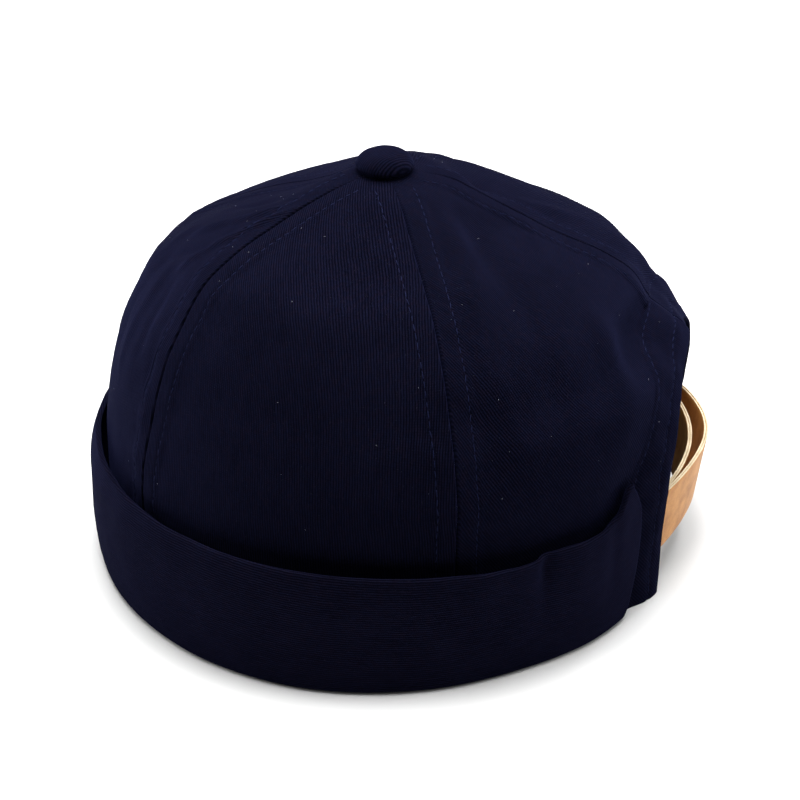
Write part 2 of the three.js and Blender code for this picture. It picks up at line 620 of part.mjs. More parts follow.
for (const panel of PANELS) add(panel.name, crownPanel(panel), COLORS.twill, 0.92, 0);
add('back_facing', backFacing(), COLORS.twill, 0.92, 0);
add('cuff', turnedUpCuff(), COLORS.cuffTwill, 0.92, 0);
add('top_button', topButton(), COLORS.twill, 0.9, 0);
add('strap', strap(), COLORS.leather, 0.6, 0);
add('strap_tab', strapTab(), COLORS.leather, 0.6, 0);
add('buckle', buckle(), COLORS.brass, 0.35, 1);

// The origin is the middle of the whole cap's base.
const box = new THREE.Box3().setFromObject(cap);
const boxMiddle = box.getCenter(new THREE.Vector3());
cap.position.set(-boxMiddle.x, -boxMiddle.y, -box.min.z);

export default cap;
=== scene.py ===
"""The looks of a brimless sailor cap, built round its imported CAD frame.

Sizes in the shape classes are millimetres, and meshes are written in metres. Turns go round the crown in
degrees, from +X (the wearer's left) towards +Y (the back). Heights are above the surface that the cap
rests on. The tables of the crown and the cuff hold shares of the sizes that they follow.
"""

import logging
import math
from dataclasses import dataclass, field
from enum import Enum
from typing import Callable, Sequence

import bmesh
import bpy
import numpy as np
from mathutils import Matrix, Vector, noise

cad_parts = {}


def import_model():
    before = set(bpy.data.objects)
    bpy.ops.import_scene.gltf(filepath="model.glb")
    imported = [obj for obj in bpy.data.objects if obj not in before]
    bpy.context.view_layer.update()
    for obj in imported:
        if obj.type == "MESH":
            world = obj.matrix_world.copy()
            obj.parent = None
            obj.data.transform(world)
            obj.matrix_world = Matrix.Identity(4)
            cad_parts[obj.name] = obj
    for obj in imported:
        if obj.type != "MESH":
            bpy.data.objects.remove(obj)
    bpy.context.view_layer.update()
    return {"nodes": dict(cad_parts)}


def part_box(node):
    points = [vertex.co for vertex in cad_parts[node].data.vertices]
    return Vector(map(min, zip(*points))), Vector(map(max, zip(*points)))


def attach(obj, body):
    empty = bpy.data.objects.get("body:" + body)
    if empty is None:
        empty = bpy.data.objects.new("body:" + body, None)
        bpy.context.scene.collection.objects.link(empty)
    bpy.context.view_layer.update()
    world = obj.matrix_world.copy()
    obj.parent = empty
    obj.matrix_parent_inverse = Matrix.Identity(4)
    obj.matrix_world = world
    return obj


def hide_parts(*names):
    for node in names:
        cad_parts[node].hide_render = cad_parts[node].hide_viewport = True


MM = 0.001
LOG = logging.getLogger("sailor_cap")
Array = np.ndarray
Patch = tuple[Array, Array]

# Vertices of neighbouring patches closer than this are one.
WELD = 0.002 * MM
# Turns a sphere's poles onto its own X axis, the long way of a stitch or a fibre.
TURN_POLES = Matrix.Rotation(math.pi / 2, 4, "Y")


def smooth_step(value: Array, low: float, high: float) -> Array:
    """Rises smoothly from 0 at low to 1 at high."""
    part = np.clip((value - low) / (high - low), 0.0, 1.0)
    return part * part * (3 - 2 * part)


def bell(offset: Array, reach: float) -> Array:
    """Bell curve of an offset, 1 at the middle."""
    return np.exp(-((offset / reach) ** 2))


def turn_from(turn: Array, middle: float) -> Array:
    """Signed difference of turns, in degrees, within half a circle."""
    return np.mod(turn - middle + 180.0, 360.0) - 180.0


def cloth_noise(points: Array, scale: float, seed: float) -> Array:
    """Smooth noise from about -1 to 1 at points, with features of one scale.

    Args:
        points: Places in millimetres, with three values in the last axis.
        scale: Size of a feature in millimetres.
        seed: Shift that makes one field unlike another.

    Returns:
        One value for each point.
    """
    flat = points.reshape(-1, 3) / scale + seed
    values = np.fromiter((noise.noise(Vector(place)) for place in flat), float, len(flat))
    return values.reshape(points.shape[:-1])


class Table:
    """Smooth columns over a key column, without overshoot."""

    def __init__(self, key: str, rows: Sequence[dict[str, float]]) -> None:
        """Keeps the rows as columns.

        Args:
            key: Name of the column that places are looked up in.
            rows: Values by column name, in the order of the key.
        """
        self.keys = np.array([row[key] for row in rows])
        self.columns = {name: np.array([row[name] for row in rows]) for name in rows[0]}

    def at(self, place: Array, column: str) -> Array:
        """Value of a column at places along the key.

        Args:
            place: Places along the key.
            column: Name of the column.

        Returns:
            Values of the column there.
        """
        keys, values = self.keys, self.columns[column]
        step = np.diff(values) / np.diff(keys)
        before, after = step[:-1], step[1:]
        same_way = before * after > 0
        total = np.where(same_way, before + after, 1.0)
        slope = np.concatenate([step[:1], np.where(same_way, 2 * before * after / total, 0.0), step[-1:]])
        place = np.clip(place, keys[0], keys[-1])
        i = np.clip(np.searchsorted(keys, place, side="right") - 1, 0, len(step) - 1)
        span = keys[i + 1] - keys[i]
        t = (place - keys[i]) / span
        return (
            (2 * t**3 - 3 * t**2 + 1) * values[i]
            + (t**3 - 2 * t**2 + t) * span * slope[i]
            + (3 * t**2 - 2 * t**3) * values[i + 1]
            + (t**3 - t**2) * span * slope[i + 1]
        )


class Seam(Enum):
    """The crown's five seams, by their turn."""

    FRONT_LEFT = -56.0
    LEFT = 14.0
    BACK = 90.0
    RIGHT = 162.0
    FRONT_RIGHT = 234.0


@dataclass(frozen=True)
class Panel:
    """One panel of the crown, from one seam to the next.

    Args:
        name: Name of the piece.
        node: CAD node that it stands for.
        start: Seam where it starts.
        end: Seam where it ends, going round towards the back.
        low_bulge: How far it stands out low down, as a share of the crown's radius.
        high_bulge: How far it stands out near the top, as a share of the crown's radius.
        lean_low: Lean of the twill's ribs from the panel's middle line low down, in degrees.
        lean_high: That lean near the button.
    """

    name: str
    node: str
    start: Seam
    end: Seam
    low_bulge: float
    high_bulge: float
    lean_low: float
    lean_high: float

    @property
    def width(self) -> float:
        """Turn from the first seam to the second."""
        return (self.end.value - self.start.value) % 360.0


@dataclass(frozen=True)
class Dent:
    """A broad dent or swelling of the crown, in shares as in the CAD model.

    Args:
        turn: Turn of its middle.
        rise: Height of its middle, as a share of the crown's height.
        reach_turn: How far it reaches to each side, in degrees.
        reach_rise: How far it reaches up and down, as a share of the crown's height.
        depth: How far it stands out, or in where negative, as a share of the crown's radius.
    """

    turn: float
    rise: float
    reach_turn: float
    reach_rise: float
    depth: float


@dataclass(frozen=True)
class Fold:
    """A soft fold between two places of the crown.

    Args:
        turn: Turn where it starts.
        height: Height where it starts.
        to_turn: Turn where it ends.
        to_height: Height where it ends.
        width: How far it reaches to each side.
        lift: How far it stands out, or in where negative.
    """

    turn: float
    height: float
    to_turn: float
    to_height: float
    width: float
    lift: float


PANELS = (
    Panel("crown_front", "panel_front", Seam.FRONT_RIGHT, Seam.FRONT_LEFT, 0.010, -0.006, 14, 4),
    Panel("crown_left_side", "panel_left_side", Seam.FRONT_LEFT, Seam.LEFT, 0.000, 0.000, 2, 21),
    Panel("crown_left_back", "panel_left_back", Seam.LEFT, Seam.BACK, 0.000, 0.006, 37, 12),
    Panel("crown_right_back", "panel_right_back", Seam.BACK, Seam.RIGHT, 0.029, 0.041, 30, 42),
    Panel("crown_right_side", "panel_right_side", Seam.RIGHT, Seam.FRONT_RIGHT, 0.000, 0.033, -10, -4),
)

# Rise, then the crown's radius at each seam in the order of Seam, all in shares.
SEAM_PROFILE = (
    (0.000, 1.000, 0.989, 1.000, 0.995, 1.000),
    (0.150, 1.006, 0.990, 1.004, 1.000, 1.008),
    (0.290, 1.010, 0.996, 1.022, 1.008, 1.014),
    (0.440, 0.986, 1.016, 1.050, 1.020, 0.998),
    (0.550, 0.950, 0.978, 1.048, 1.018, 0.966),
    (0.645, 0.902, 0.902, 0.936, 0.985, 0.922),
    (0.718, 0.846, 0.832, 0.874, 0.892, 0.862),
    (0.777, 0.790, 0.752, 0.758, 0.746, 0.716),
    (0.828, 0.730, 0.662, 0.594, 0.628, 0.566),
    (0.879, 0.612, 0.502, 0.452, 0.508, 0.396),
    (0.930, 0.402, 0.344, 0.320, 0.328, 0.232),
    (0.967, 0.232, 0.220, 0.210, 0.218, 0.142),
)

DENTS = (
    Dent(72, 0.630, 11, 0.075, -0.046),
    Dent(105, 0.585, 11, 0.060, -0.036),
    Dent(60, 0.900, 16, 0.030, -0.030),
    Dent(118, 0.920, 20, 0.035, -0.040),
    Dent(38, 0.700, 9, 0.090, 0.016),
    Dent(22, 0.560, 6, 0.090, -0.012),
    Dent(-100, 0.800, 9, 0.060, 0.018),
    Dent(-76, 0.720, 8, 0.070, -0.014),
    Dent(200, 0.700, 14, 0.080, -0.022),
)

FOLDS = (
    Fold(-89, 112, -76, 122, 1.8, 1.7),
    Fold(-76, 122, -66, 128, 1.8, 1.3),
    Fold(-84, 108, -68, 118, 2.2, -1.3),
    Fold(-73, 110, -66, 121, 1.6, 1.6),
    Fold(-66, 121, -59, 128, 1.6, 1.2),
    Fold(-98, 118, -84, 126, 2.6, -1.1),
    Fold(-96, 110, -92, 78, 2.6, 1.4),
    Fold(-80, 106, -78, 74, 2.6, 1.3),
    Fold(-87, 106, -85, 76, 2.6, -1.2),
    Fold(-71, 106, -69, 84, 2.2, -0.7),
    Fold(-40, 120, -32, 84, 6.0, 0.6),
    Fold(-8, 118, -14, 78, 7.0, -0.6),
    Fold(-62, 60, -40, 46, 7.0, 0.8),
    Fold(45, 129, 36, 121, 4.2, 1.2),
    Fold(36, 121, 25, 108, 5.0, 1.5),
    Fold(25, 108, 26, 88, 5.6, 1.5),
    Fold(26, 88, 30, 66, 6.2, 0.9),
    Fold(52, 126, 40, 104, 6.0, -1.7),
    Fold(40, 104, 38, 82, 6.6, -1.4),
    Fold(60, 104, 59, 80, 6.2, 1.2),
    Fold(59, 80, 48, 62, 6.2, 0.9),
    Fold(4, 56, 30, 50, 6.0, -0.8),
    Fold(62, 56, 46, 46, 5.0, -0.9),
    Fold(101, 119, 108, 108, 3.2, 1.3),
    Fold(112, 126, 100, 124, 4.0, -1.6),
    Fold(104, 97, 107, 76, 8.0, 2.4),
    Fold(120, 96, 142, 80, 6.0, 0.9),
    Fold(150, 110, 176, 92, 6.0, -0.9),
    Fold(186, 70, 214, 56, 8.0, 1.0),
    Fold(250, 74, 262, 60, 8.0, -0.9),
)


@dataclass(frozen=True)
class CuffFold:
    """An upright fold of the cuff.

    Args:
        turn: Turn of its middle.
        reach: How far it reaches to each side, in degrees.
        lift: How far it stands out, or in where negative, in millimetres.
    """

    turn: float
    reach: float
    lift: float


CUFF_FOLDS = (
    CuffFold(18, 3.2, 0.5),
    CuffFold(25, 2.4, 0.5),
    CuffFold(31.5, 1.9, -0.9),
    CuffFold(39, 3.0, 0.8),
    CuffFold(48.5, 2.4, -0.7),
    CuffFold(-60, 4.0, 0.5),
    CuffFold(-110, 5.0, -0.6),
    CuffFold(-160, 5.0, 0.6),
    CuffFold(-200, 3.0, -0.6),
    CuffFold(-214, 3.0, 0.6),
)


@dataclass(frozen=True)
class Opening:
    """The arched back opening: upright sides, then half a circle.

    Args:
        half_width: Half of its width, and the radius of its arch.
        height: Height of its top.
        hem: Width of the sewn hem round it.
        facing_wall: Thickness of the strip inside the hem.
        flare_left: How far the left side of the hem turns out at the foot.
        flare_right: How far the right side of the hem turns out at the foot.
        flare_ease: Share of that flare which is gone at the top.
        flare_reach: How far from the opening the flare fades out.
        beak: How far the hem stands out over the top.
        beak_reach: How far from the top of the opening the beak fades out.
        stitch_rows: Distances of the rows of stitching from the edge.
        edge_round: Radius of the turned edge.
        stitch_sink: How deep the stitches pull the hem in.
        fullness: How far the doubled cloth stands out.
        crest_lift: How far the hem swells over the top of the opening.
    """

    half_width: float = 38.0
    height: float = 76.0
    hem: float = 13.5
    facing_wall: float = 1.0
    flare_left: float = 6.4
    flare_right: float = 2.5
    flare_ease: float = 0.75
    flare_reach: float = 15.0
    beak: float = 1.6
    beak_reach: float = 20.0
    stitch_rows: tuple[float, float] = (5.8, 12.4)
    edge_round: float = 0.9
    stitch_sink: float = 0.42
    fullness: float = 0.5
    crest_lift: float = 1.1

    @property
    def spring(self) -> float:
        """Height where the half circle starts."""
        return self.height - self.half_width

    def beside(self, x: Array, height: Array) -> Array:
        """Distance of places, seen from the back, outside the opening's outline.

        Args:
            x: Places in x.
            height: Heights in millimetres.

        Returns:
            Distances in millimetres, negative inside the opening.
        """
        round_part = np.hypot(x, height - self.spring) - self.half_width
        return np.where(height <= self.spring, np.abs(x) - self.half_width, round_part)

    def side(self, way: int, outside: float, legs: int, arcs: int) -> tuple[Array, Array]:
        """Places on one side of the outline, set out by a distance.

        Args:
            way: 1 for the left side and -1 for the right.
            outside: Distance outside the outline.
            legs: Number of places on the upright stretch.
            arcs: Number of steps on the arch.

        Returns:
            Places in x and heights, from the foot to the top.
        """
        reach = self.half_width + outside
        leg = np.arange(legs) / legs * self.spring
        angle = np.linspace(0, math.pi / 2, arcs + 1)
        x = np.concatenate([np.full(legs, reach), reach * np.cos(angle)])
        return way * x, np.concatenate([leg, self.spring + reach * np.sin(angle)])


@dataclass
class Crown:
    """The slack crown as a surface, with its seams, hem, dents and folds.

    Args:
        radius: Outer radius at the base.
        height: Height of the hole under the button.
        wall: Thickness of the cloth.
        top_radius: Radius of that hole.
        top_drop: How far the crown falls from the hole to the button's rim.
        button_radius: Radius of the button.
        row_offset: Distance of each row of stitching from its seam.
        seam_band: Half the width of the doubled cloth at a seam.
        band_lift: How far that cloth stands out.
        stitch_sink: How deep the stitches pull the cloth in.
        stitch_reach: Half the width of the line that they pull in.
        pucker_lift: How far the cloth gathers beside the stitches.
        groove: Depth of the line where two panels meet.
        groove_reach: Half the width of that line.
        back_fullness: How much fuller the back seam is than the others.
        back_groove: Depth of the line at the back seam.
        cuff_hold: Heights between which the cloth comes free of the cuff.
        push: How far the stiff strap pushes the right side of the opening out.
        push_turn: Turn where that push is greatest.
        push_reach: How far the push reaches to each side, in degrees.
        opening: The opening at the back.
    """

    radius: float = 91.0
    height: float = 136.5
    wall: float = 1.4
    top_radius: float = 4.5
    top_drop: float = 2.2
    button_radius: float = 9.3
    row_offset: float = 6.35
    seam_band: float = 7.6
    band_lift: float = 0.5
    stitch_sink: float = 0.42
    stitch_reach: float = 0.55
    pucker_lift: float = 0.6
    groove: float = 1.15
    groove_reach: float = 0.36
    back_fullness: float = 1.6
    back_groove: float = 0.6
    cuff_hold: tuple[float, float] = (22.0, 50.0)
    push: float = 14.0
    push_turn: float = 111.0
    push_reach: float = 21.0
    opening: Opening = field(default_factory=Opening)

    def __post_init__(self) -> None:
        """Fills the tables of the seams, of the strap's push and of the folds."""
        names = ("rise", *(seam.name for seam in Seam))
        rows = [dict(zip(names, row)) for row in SEAM_PROFILE]
        self.button_rise = 1 - self.top_drop / self.height
        for rise, radius in ((self.button_rise, self.button_radius), (1.0, self.top_radius)):
            rows.append(dict(zip(names, (rise, *[radius / self.radius] * len(Seam)))))
        self.profile = Table("rise", rows)
        push_rows = ((0.00, 0.62), (0.15, 0.90), (0.30, 1.00), (0.45, 0.80), (0.60, 0.30), (0.75, 0.00))
        self.pushes = Table("rise", [{"rise": rise, "push": push} for rise, push in push_rows])
        self.fold_ends = [
            (self.outer(np.array([fold.turn, fold.to_turn]), np.array([fold.height, fold.to_height])), fold)
            for fold in FOLDS
        ]

    def push_at(self, turn: Array, rise: Array) -> Array:
        """How far the stiff strap pushes the right side of the opening out."""
        near = bell(turn_from(turn, self.push_turn), self.push_reach)
        return self.push * near * self.pushes.at(rise, "push")

    def slack_radius(self, turn: Array, rise: Array) -> Array:
        """Outer radius before the hem turns out.

        Args:
            turn: Turns in degrees.
            rise: Heights as shares of the whole, from 0 to 1.

        Returns:
            Radii in millimetres.
        """
        turn, rise = np.broadcast_arrays(np.asarray(turn, float), np.asarray(rise, float))
        result = np.zeros(turn.shape)
        for panel in PANELS:
            across = np.mod(turn - panel.start.value, 360.0) / panel.width
            inside = across <= 1.0
            across = np.clip(across, 0.0, 1.0)
            blend = 0.5 - 0.5 * np.cos(math.pi * across)
            first = self.profile.at(rise, panel.start.name)
            last = self.profile.at(rise, panel.end.name)
            seams = first * (1 - blend) + last * blend
            low = panel.low_bulge * np.sin(math.pi * np.clip(rise / 0.7, 0, 1))
            upper = np.clip((rise - 0.5) / (self.button_rise - 0.5), 0, 1)
            high = panel.high_bulge * np.sin(math.pi * upper)
            result = np.where(inside, seams + (low + high) * np.sin(math.pi * across) ** 2, result)
        for dent in DENTS:
            near = dent.depth * bell(turn_from(turn, dent.turn), dent.reach_turn)
            result = result + near * bell(rise - dent.rise, dent.reach_rise)
        return result * self.radius + self.push_at(turn, rise)

    def wall_radius(self, turn: Array, height: Array) -> Array:
        """Outer radius with the hem turned out round the opening.

        Args:
            turn: Turns in degrees.
            height: Heights in millimetres.

        Returns:
            Radii in millimetres.
        """
        opening = self.opening
        plain = self.slack_radius(turn, height / self.height)
        x = plain * np.cos(np.radians(turn))
        beside = np.maximum(opening.beside(x, height), 0)
        up = np.clip((height - opening.spring) / opening.half_width, 0, 1)
        side = np.where(x > 0, opening.flare_left, opening.flare_right)
        flare = side * (1 - opening.flare_ease * up) * (1 - smooth_step(beside, 0, opening.flare_reach))
        beak = opening.beak * bell(x, opening.beak_reach / 2) * up
        beak = beak * (1 - smooth_step(beside, 0, opening.beak_reach))
        return plain + np.where(np.sin(np.radians(turn)) < 0, 0.0, flare + beak)

    def outer(self, turn: Array, height: Array) -> Array:
        """Points of the outer face, from the crown's middle, in millimetres.

        Args:
            turn: Turns in degrees.
            height: Heights in millimetres.

        Returns:
            Points in millimetres, with three values in the last axis.
        """
        turn, height = np.broadcast_arrays(np.asarray(turn, float), np.asarray(height, float))
        radius = self.wall_radius(turn, height)
        angle = np.radians(turn)
        return np.stack([radius * np.cos(angle), radius * np.sin(angle), height], axis=-1)

    def outward(self, turn: Array, height: Array) -> Array:
        """Unit normals of the outer face.

        Args:
            turn: Turns in degrees.
            height: Heights in millimetres.

        Returns:
            Normals, with three values in the last axis.
        """
        step = 0.4
        along = self.outer(turn + step, height) - self.outer(turn - step, height)
        above = self.outer(turn, np.minimum(height + step, self.height))
        below = self.outer(turn, np.maximum(height - step, 0))
        normal = np.cross(along, above - below)
        normal[..., 2] *= np.clip(height / 8.0, 0, 1)
        return normal / np.linalg.norm(normal, axis=-1, keepdims=True)

    def turn_at_x(self, x: Array, height: Array) -> Array:
        """Turns at which the outer face lies at given places in x, on the back half.

        Args:
            x: Places in x.
            height: Heights in millimetres.

        Returns:
            Turns in degrees.
        """
        low = np.zeros(np.broadcast(x, height).shape)
        high = np.full(low.shape, 180.0)
        for _ in range(34):
            middle = (low + high) / 2
            beyond = self.outer(middle, height)[..., 0] > x
            low, high = np.where(beyond, middle, low), np.where(beyond, high, middle)
        return (low + high) / 2

    def seam_relief(self, turn: Array, height: Array, base: Array) -> Array:
        """How far the sewn seams lift and pull the cloth.

        Args:
            turn: Turns in degrees.
            height: Heights in millimetres.
            base: Points of the outer face.

        Returns:
            Lift along the surface's normal, in millimetres.
        """
        result = np.zeros(base.shape[:-1])
        radius = np.hypot(base[..., 0], base[..., 1])
        for number, seam in enumerate(Seam):
            aside = np.radians(turn_from(turn, seam.value)) * radius
            distance = np.abs(aside)
            fan = smooth_step(radius, 8.0, 16.0)
            band = 1 - smooth_step(distance, self.seam_band - 0.8, self.seam_band + 0.8)
            from_row = distance - self.row_offset
            thread = bell(from_row, self.stitch_reach)
            along = np.stack([height * 0, height * 0 + number * 31, height * 1.0], axis=-1)
            pucker = cloth_noise(along + aside[..., None] * 0.25, 6.0, 3.7) * bell(from_row, 3.6)
            at_back = seam is Seam.BACK
            full = self.back_fullness if at_back else 1.0
            groove = (self.back_groove if at_back else self.groove) * bell(aside, self.groove_reach)
            raised = full * (self.band_lift * band + self.pucker_lift * pucker)
            result += fan * (raised - groove - self.stitch_sink * thread)
        beside = self.opening.beside(base[..., 0], base[..., 2])
        clear = smooth_step(beside, self.opening.hem - 1.5, self.opening.hem + 1.0)
        return result * np.where(base[..., 1] > 0, clear, 1.0)

    def hem_relief(self, base: Array) -> Array:
        """How far the turned and sewn hem round the opening lifts and pulls the cloth.

        Args:
            base: Points of the outer face.

        Returns:
            Lift along the surface's normal, in millimetres.
        """
        opening = self.opening
        beside = opening.beside(base[..., 0], base[..., 2])
        near = np.where(base[..., 1] > 0, 1.0, 0.0)
        band = 1 - smooth_step(beside, opening.hem - 0.9, opening.hem + 0.9)
        edge = np.clip(beside, 0, opening.edge_round)
        curl = opening.edge_round - np.sqrt(opening.edge_round**2 - (opening.edge_round - edge) ** 2)
        result = opening.fullness * band - curl
        for row in opening.stitch_rows:
            result -= opening.stitch_sink * bell(beside - row, self.stitch_reach)
        result += 0.75 * cloth_noise(base, 8.0, 8.1) * band * smooth_step(beside, 0.5, 4.0)
        over_top = smooth_step(base[..., 2], opening.height - 10, opening.height)
        crest = bell(base[..., 0] - 4.0, 12.0) * over_top
        result += opening.crest_lift * crest * bell(beside - 6.0, 4.5)
        return near * np.where(beside > opening.hem + 6, 0.0, result)

    def fold_relief(self, base: Array) -> Array:
        """How far the soft folds and the cloth's own unevenness lift it.

        Args:
            base: Points of the outer face.

        Returns:
            Lift along the surface's normal, in millimetres.
        """
        result = 0.75 * cloth_noise(base, 34.0, 1.3) + 0.3 * cloth_noise(base, 13.0, 5.9)
        result += 0.1 * cloth_noise(base, 5.0, 9.4)
        for ends, fold in self.fold_ends:
            line = ends[1] - ends[0]
            share = np.clip((base - ends[0]) @ line / (line @ line), 0, 1)
            distance = np.linalg.norm(base - ends[0] - share[..., None] * line, axis=-1)
            taper = 0.35 + 0.65 * np.sin(math.pi * share)
            result += fold.lift * taper * bell(distance, fold.width)
        return result

    def point(self, turn: Array, height: Array, depth: float = 0.0, detail: bool = True) -> Array:
        """Points at a depth inside the outer face, with the cloth's detail, in millimetres.

        Args:
            turn: Turns in degrees.
            height: Heights in millimetres.
            depth: Distance inside the outer face.
            detail: Whether seams, hem and folds lift the cloth.

        Returns:
            Points in millimetres, with three values in the last axis.
        """
        turn, height = np.broadcast_arrays(np.asarray(turn, float), np.asarray(height, float))
        base = self.outer(turn, height)
        lift = np.full(turn.shape, -depth)
        if detail:
            free = 0.25 + 0.75 * smooth_step(height, *self.cuff_hold)
            top = 1 - smooth_step(height, self.height - 8, self.height - 1)
            lift = lift + free * top * (self.seam_relief(turn, height, base) + self.fold_relief(base))
            lift = lift + self.hem_relief(base)
        return base + self.outward(turn, height) * lift[..., None]


@dataclass(frozen=True)
class Place:
    """Turns millimetres round the crown's middle into metres of the row frame."""

    x: float
    y: float

    def metres(self, points: Array) -> Array:
        """Points in metres in the row frame."""
        return points * MM + np.array([self.x, self.y, 0.0])

    def inside(self) -> Vector:
        """A place well inside the crown, in metres."""
        return Vector((self.x, self.y, 0.03))


class MeshMaker:
    """Makes the cap's pieces from patches of points."""

    def __init__(self, place: Place) -> None:
        """Keeps where the crown's middle is."""
        self.place = place

    def add_patch(self, bm: bmesh.types.BMesh, points: Array, cloth: Array) -> None:
        """Adds a grid whose corners go to the points, with the cloth's own coordinates as its UV.

        Args:
            bm: Mesh to add to, with a UV layer named cloth.
            points: Places in millimetres, as rows, columns and three values.
            cloth: Coordinates on the cloth in millimetres, as rows, columns and two values.
        """
        rows, columns = points.shape[:2]
        layer = bm.loops.layers.uv["cloth"]
        made = bmesh.ops.create_grid(bm, x_segments=columns - 1, y_segments=rows - 1, size=1.0)
        places = self.place.metres(points)
        index = {}
        for vert in made["verts"]:
            i = round((vert.co.y + 1) / 2 * (rows - 1))
            j = round((vert.co.x + 1) / 2 * (columns - 1))
            index[vert] = (i, j)
            vert.co = places[i, j]
        for face in {face for vert in made["verts"] for face in vert.link_faces}:
            for loop in face.loops:
                loop[layer].uv = cloth[index[loop.vert]]

    def sheet(
        self, name: str, patches: Sequence[Patch], outward: Callable[[Vector], Vector] | None
    ) -> bpy.types.Object:
        """One object from patches that share their borders.

        Args:
            name: Name of the piece.
            patches: Points and cloth coordinates of each patch.
            outward: Way that the faces look at a place, or None for a closed body.

        Returns:
            The new object, smooth shaded.
        """
        bm = bmesh.new()
        bm.loops.layers.uv.new("cloth")
        for points, cloth in patches:
            self.add_patch(bm, points, cloth)
        bmesh.ops.remove_doubles(bm, verts=bm.verts, dist=WELD)
        bmesh.ops.dissolve_degenerate(bm, edges=bm.edges, dist=WELD)
        bmesh.ops.recalc_face_normals(bm, faces=bm.faces)
        if outward is not None:
            agree = sum(face.normal.dot(outward(face.calc_center_median())) for face in bm.faces)
            if agree < 0:
                bmesh.ops.reverse_faces(bm, faces=bm.faces)
        return self.link(name, bm)

    @staticmethod
    def link(name: str, bm: bmesh.types.BMesh) -> bpy.types.Object:
        """Puts a finished mesh into the scene as a smooth object.

        Args:
            name: Name of the piece.
            bm: The mesh, which is freed.

        Returns:
            The new object.
        """
        mesh = bpy.data.meshes.new(name)
        bm.to_mesh(mesh)
        bm.free()
        mesh.shade_smooth()
        piece = bpy.data.objects.new(name, mesh)
        bpy.context.scene.collection.objects.link(piece)
        return piece


def thicken(piece: bpy.types.Object, thickness: float, offset: float, rim_slot: int = 0) -> None:
    """Gives a sheet its thickness.

    Args:
        piece: The sheet.
        thickness: Thickness in millimetres.
        offset: -1 to grow inwards, 0 to grow to both sides.
        rim_slot: How many slots on the rim's material lies.
    """
    solid = piece.modifiers.new("thickness", "SOLIDIFY")
    solid.thickness = thickness * MM
    solid.offset = offset
    solid.use_rim = True
    solid.material_offset_rim = rim_slot


def declare(piece: bpy.types.Object, slot: str, *nodes: str) -> bpy.types.Object:
    """Puts a piece on the root body and hides the CAD nodes that it stands for.

    Args:
        piece: The piece.
        slot: Finish that it takes; not used.
        nodes: CAD nodes that it stands for.

    Returns:
        The same piece.
    """
    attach(piece, "root")
    if nodes:
        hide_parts(*nodes)
    LOG.info("made %s", piece.name)
    return piece


@dataclass
class Stitching:
    """Rows of single stitches, each a small capsule of thread.

    Args:
        maker: Puts the stitches in their place.
        length: Length of a stitch that shows.
        pitch: Distance from one stitch to the next.
        thick: Thickness of the thread.
        uneven: How far a stitch's length and direction stray, as a share.
    """

    maker: MeshMaker
    length: float = 2.45
    pitch: float = 3.0
    thick: float = 0.36
    uneven: float = 0.16

    def __post_init__(self) -> None:
        """Starts an empty mesh and a fixed run of random numbers."""
        self.bm = bmesh.new()
        self.bm.loops.layers.uv.new("cloth")
        self.random = np.random.default_rng(11)

    def row(self, path: Array, normals: Array) -> None:
        """Adds one row along a path.

        Args:
            path: Points in millimetres, close together.
            normals: Unit normals of the cloth at those points.
        """
        steps = np.linalg.norm(np.diff(path, axis=0), axis=1)
        run = np.concatenate([[0.0], np.cumsum(steps)])
        for middle in np.arange(self.pitch / 2, run[-1] - self.pitch / 2, self.pitch):
            at = [np.interp(middle + shift, run, path[:, k]) for shift in (-0.5, 0.0, 0.5) for k in range(3)]
            before, here, after = (Vector(at[i:i + 3]) for i in (0, 3, 6))
            near = int(np.searchsorted(run, middle))
            up = Vector(normals[min(near, len(normals) - 1)])
            along = (after - before).normalized()
            side = up.cross(along).normalized()
            basis = Matrix((along, side, up)).transposed().to_4x4()
            longer, turned, raised = self.random.uniform(-1, 1, 3) * self.uneven
            basis = basis @ Matrix.Rotation(turned, 4, "Z")
            size = Matrix.Diagonal((self.length / 2 * (1 + longer), self.thick / 2, self.thick / 2, 1.0))
            spot = Vector(self.maker.place.metres(np.array(here + up * self.thick * (0.3 + raised))))
            bmesh.ops.create_uvsphere(
                self.bm, u_segments=6, v_segments=4, radius=1.0,
                matrix=Matrix.Translation(spot) @ Matrix.Scale(MM, 4) @ basis @ size @ TURN_POLES,
            )

    def finish(self, name: str, slot: str, material: bpy.types.Material) -> bpy.types.Object:
        """Makes one piece of all the rows.

        Args:
            name: Name of the piece.
            slot: Finish that it takes.
            material: Material of the thread.

        Returns:
            The piece.
        """
        piece = self.maker.link(name, self.bm)
        piece.data.materials.append(material)
        return declare(piece, slot)


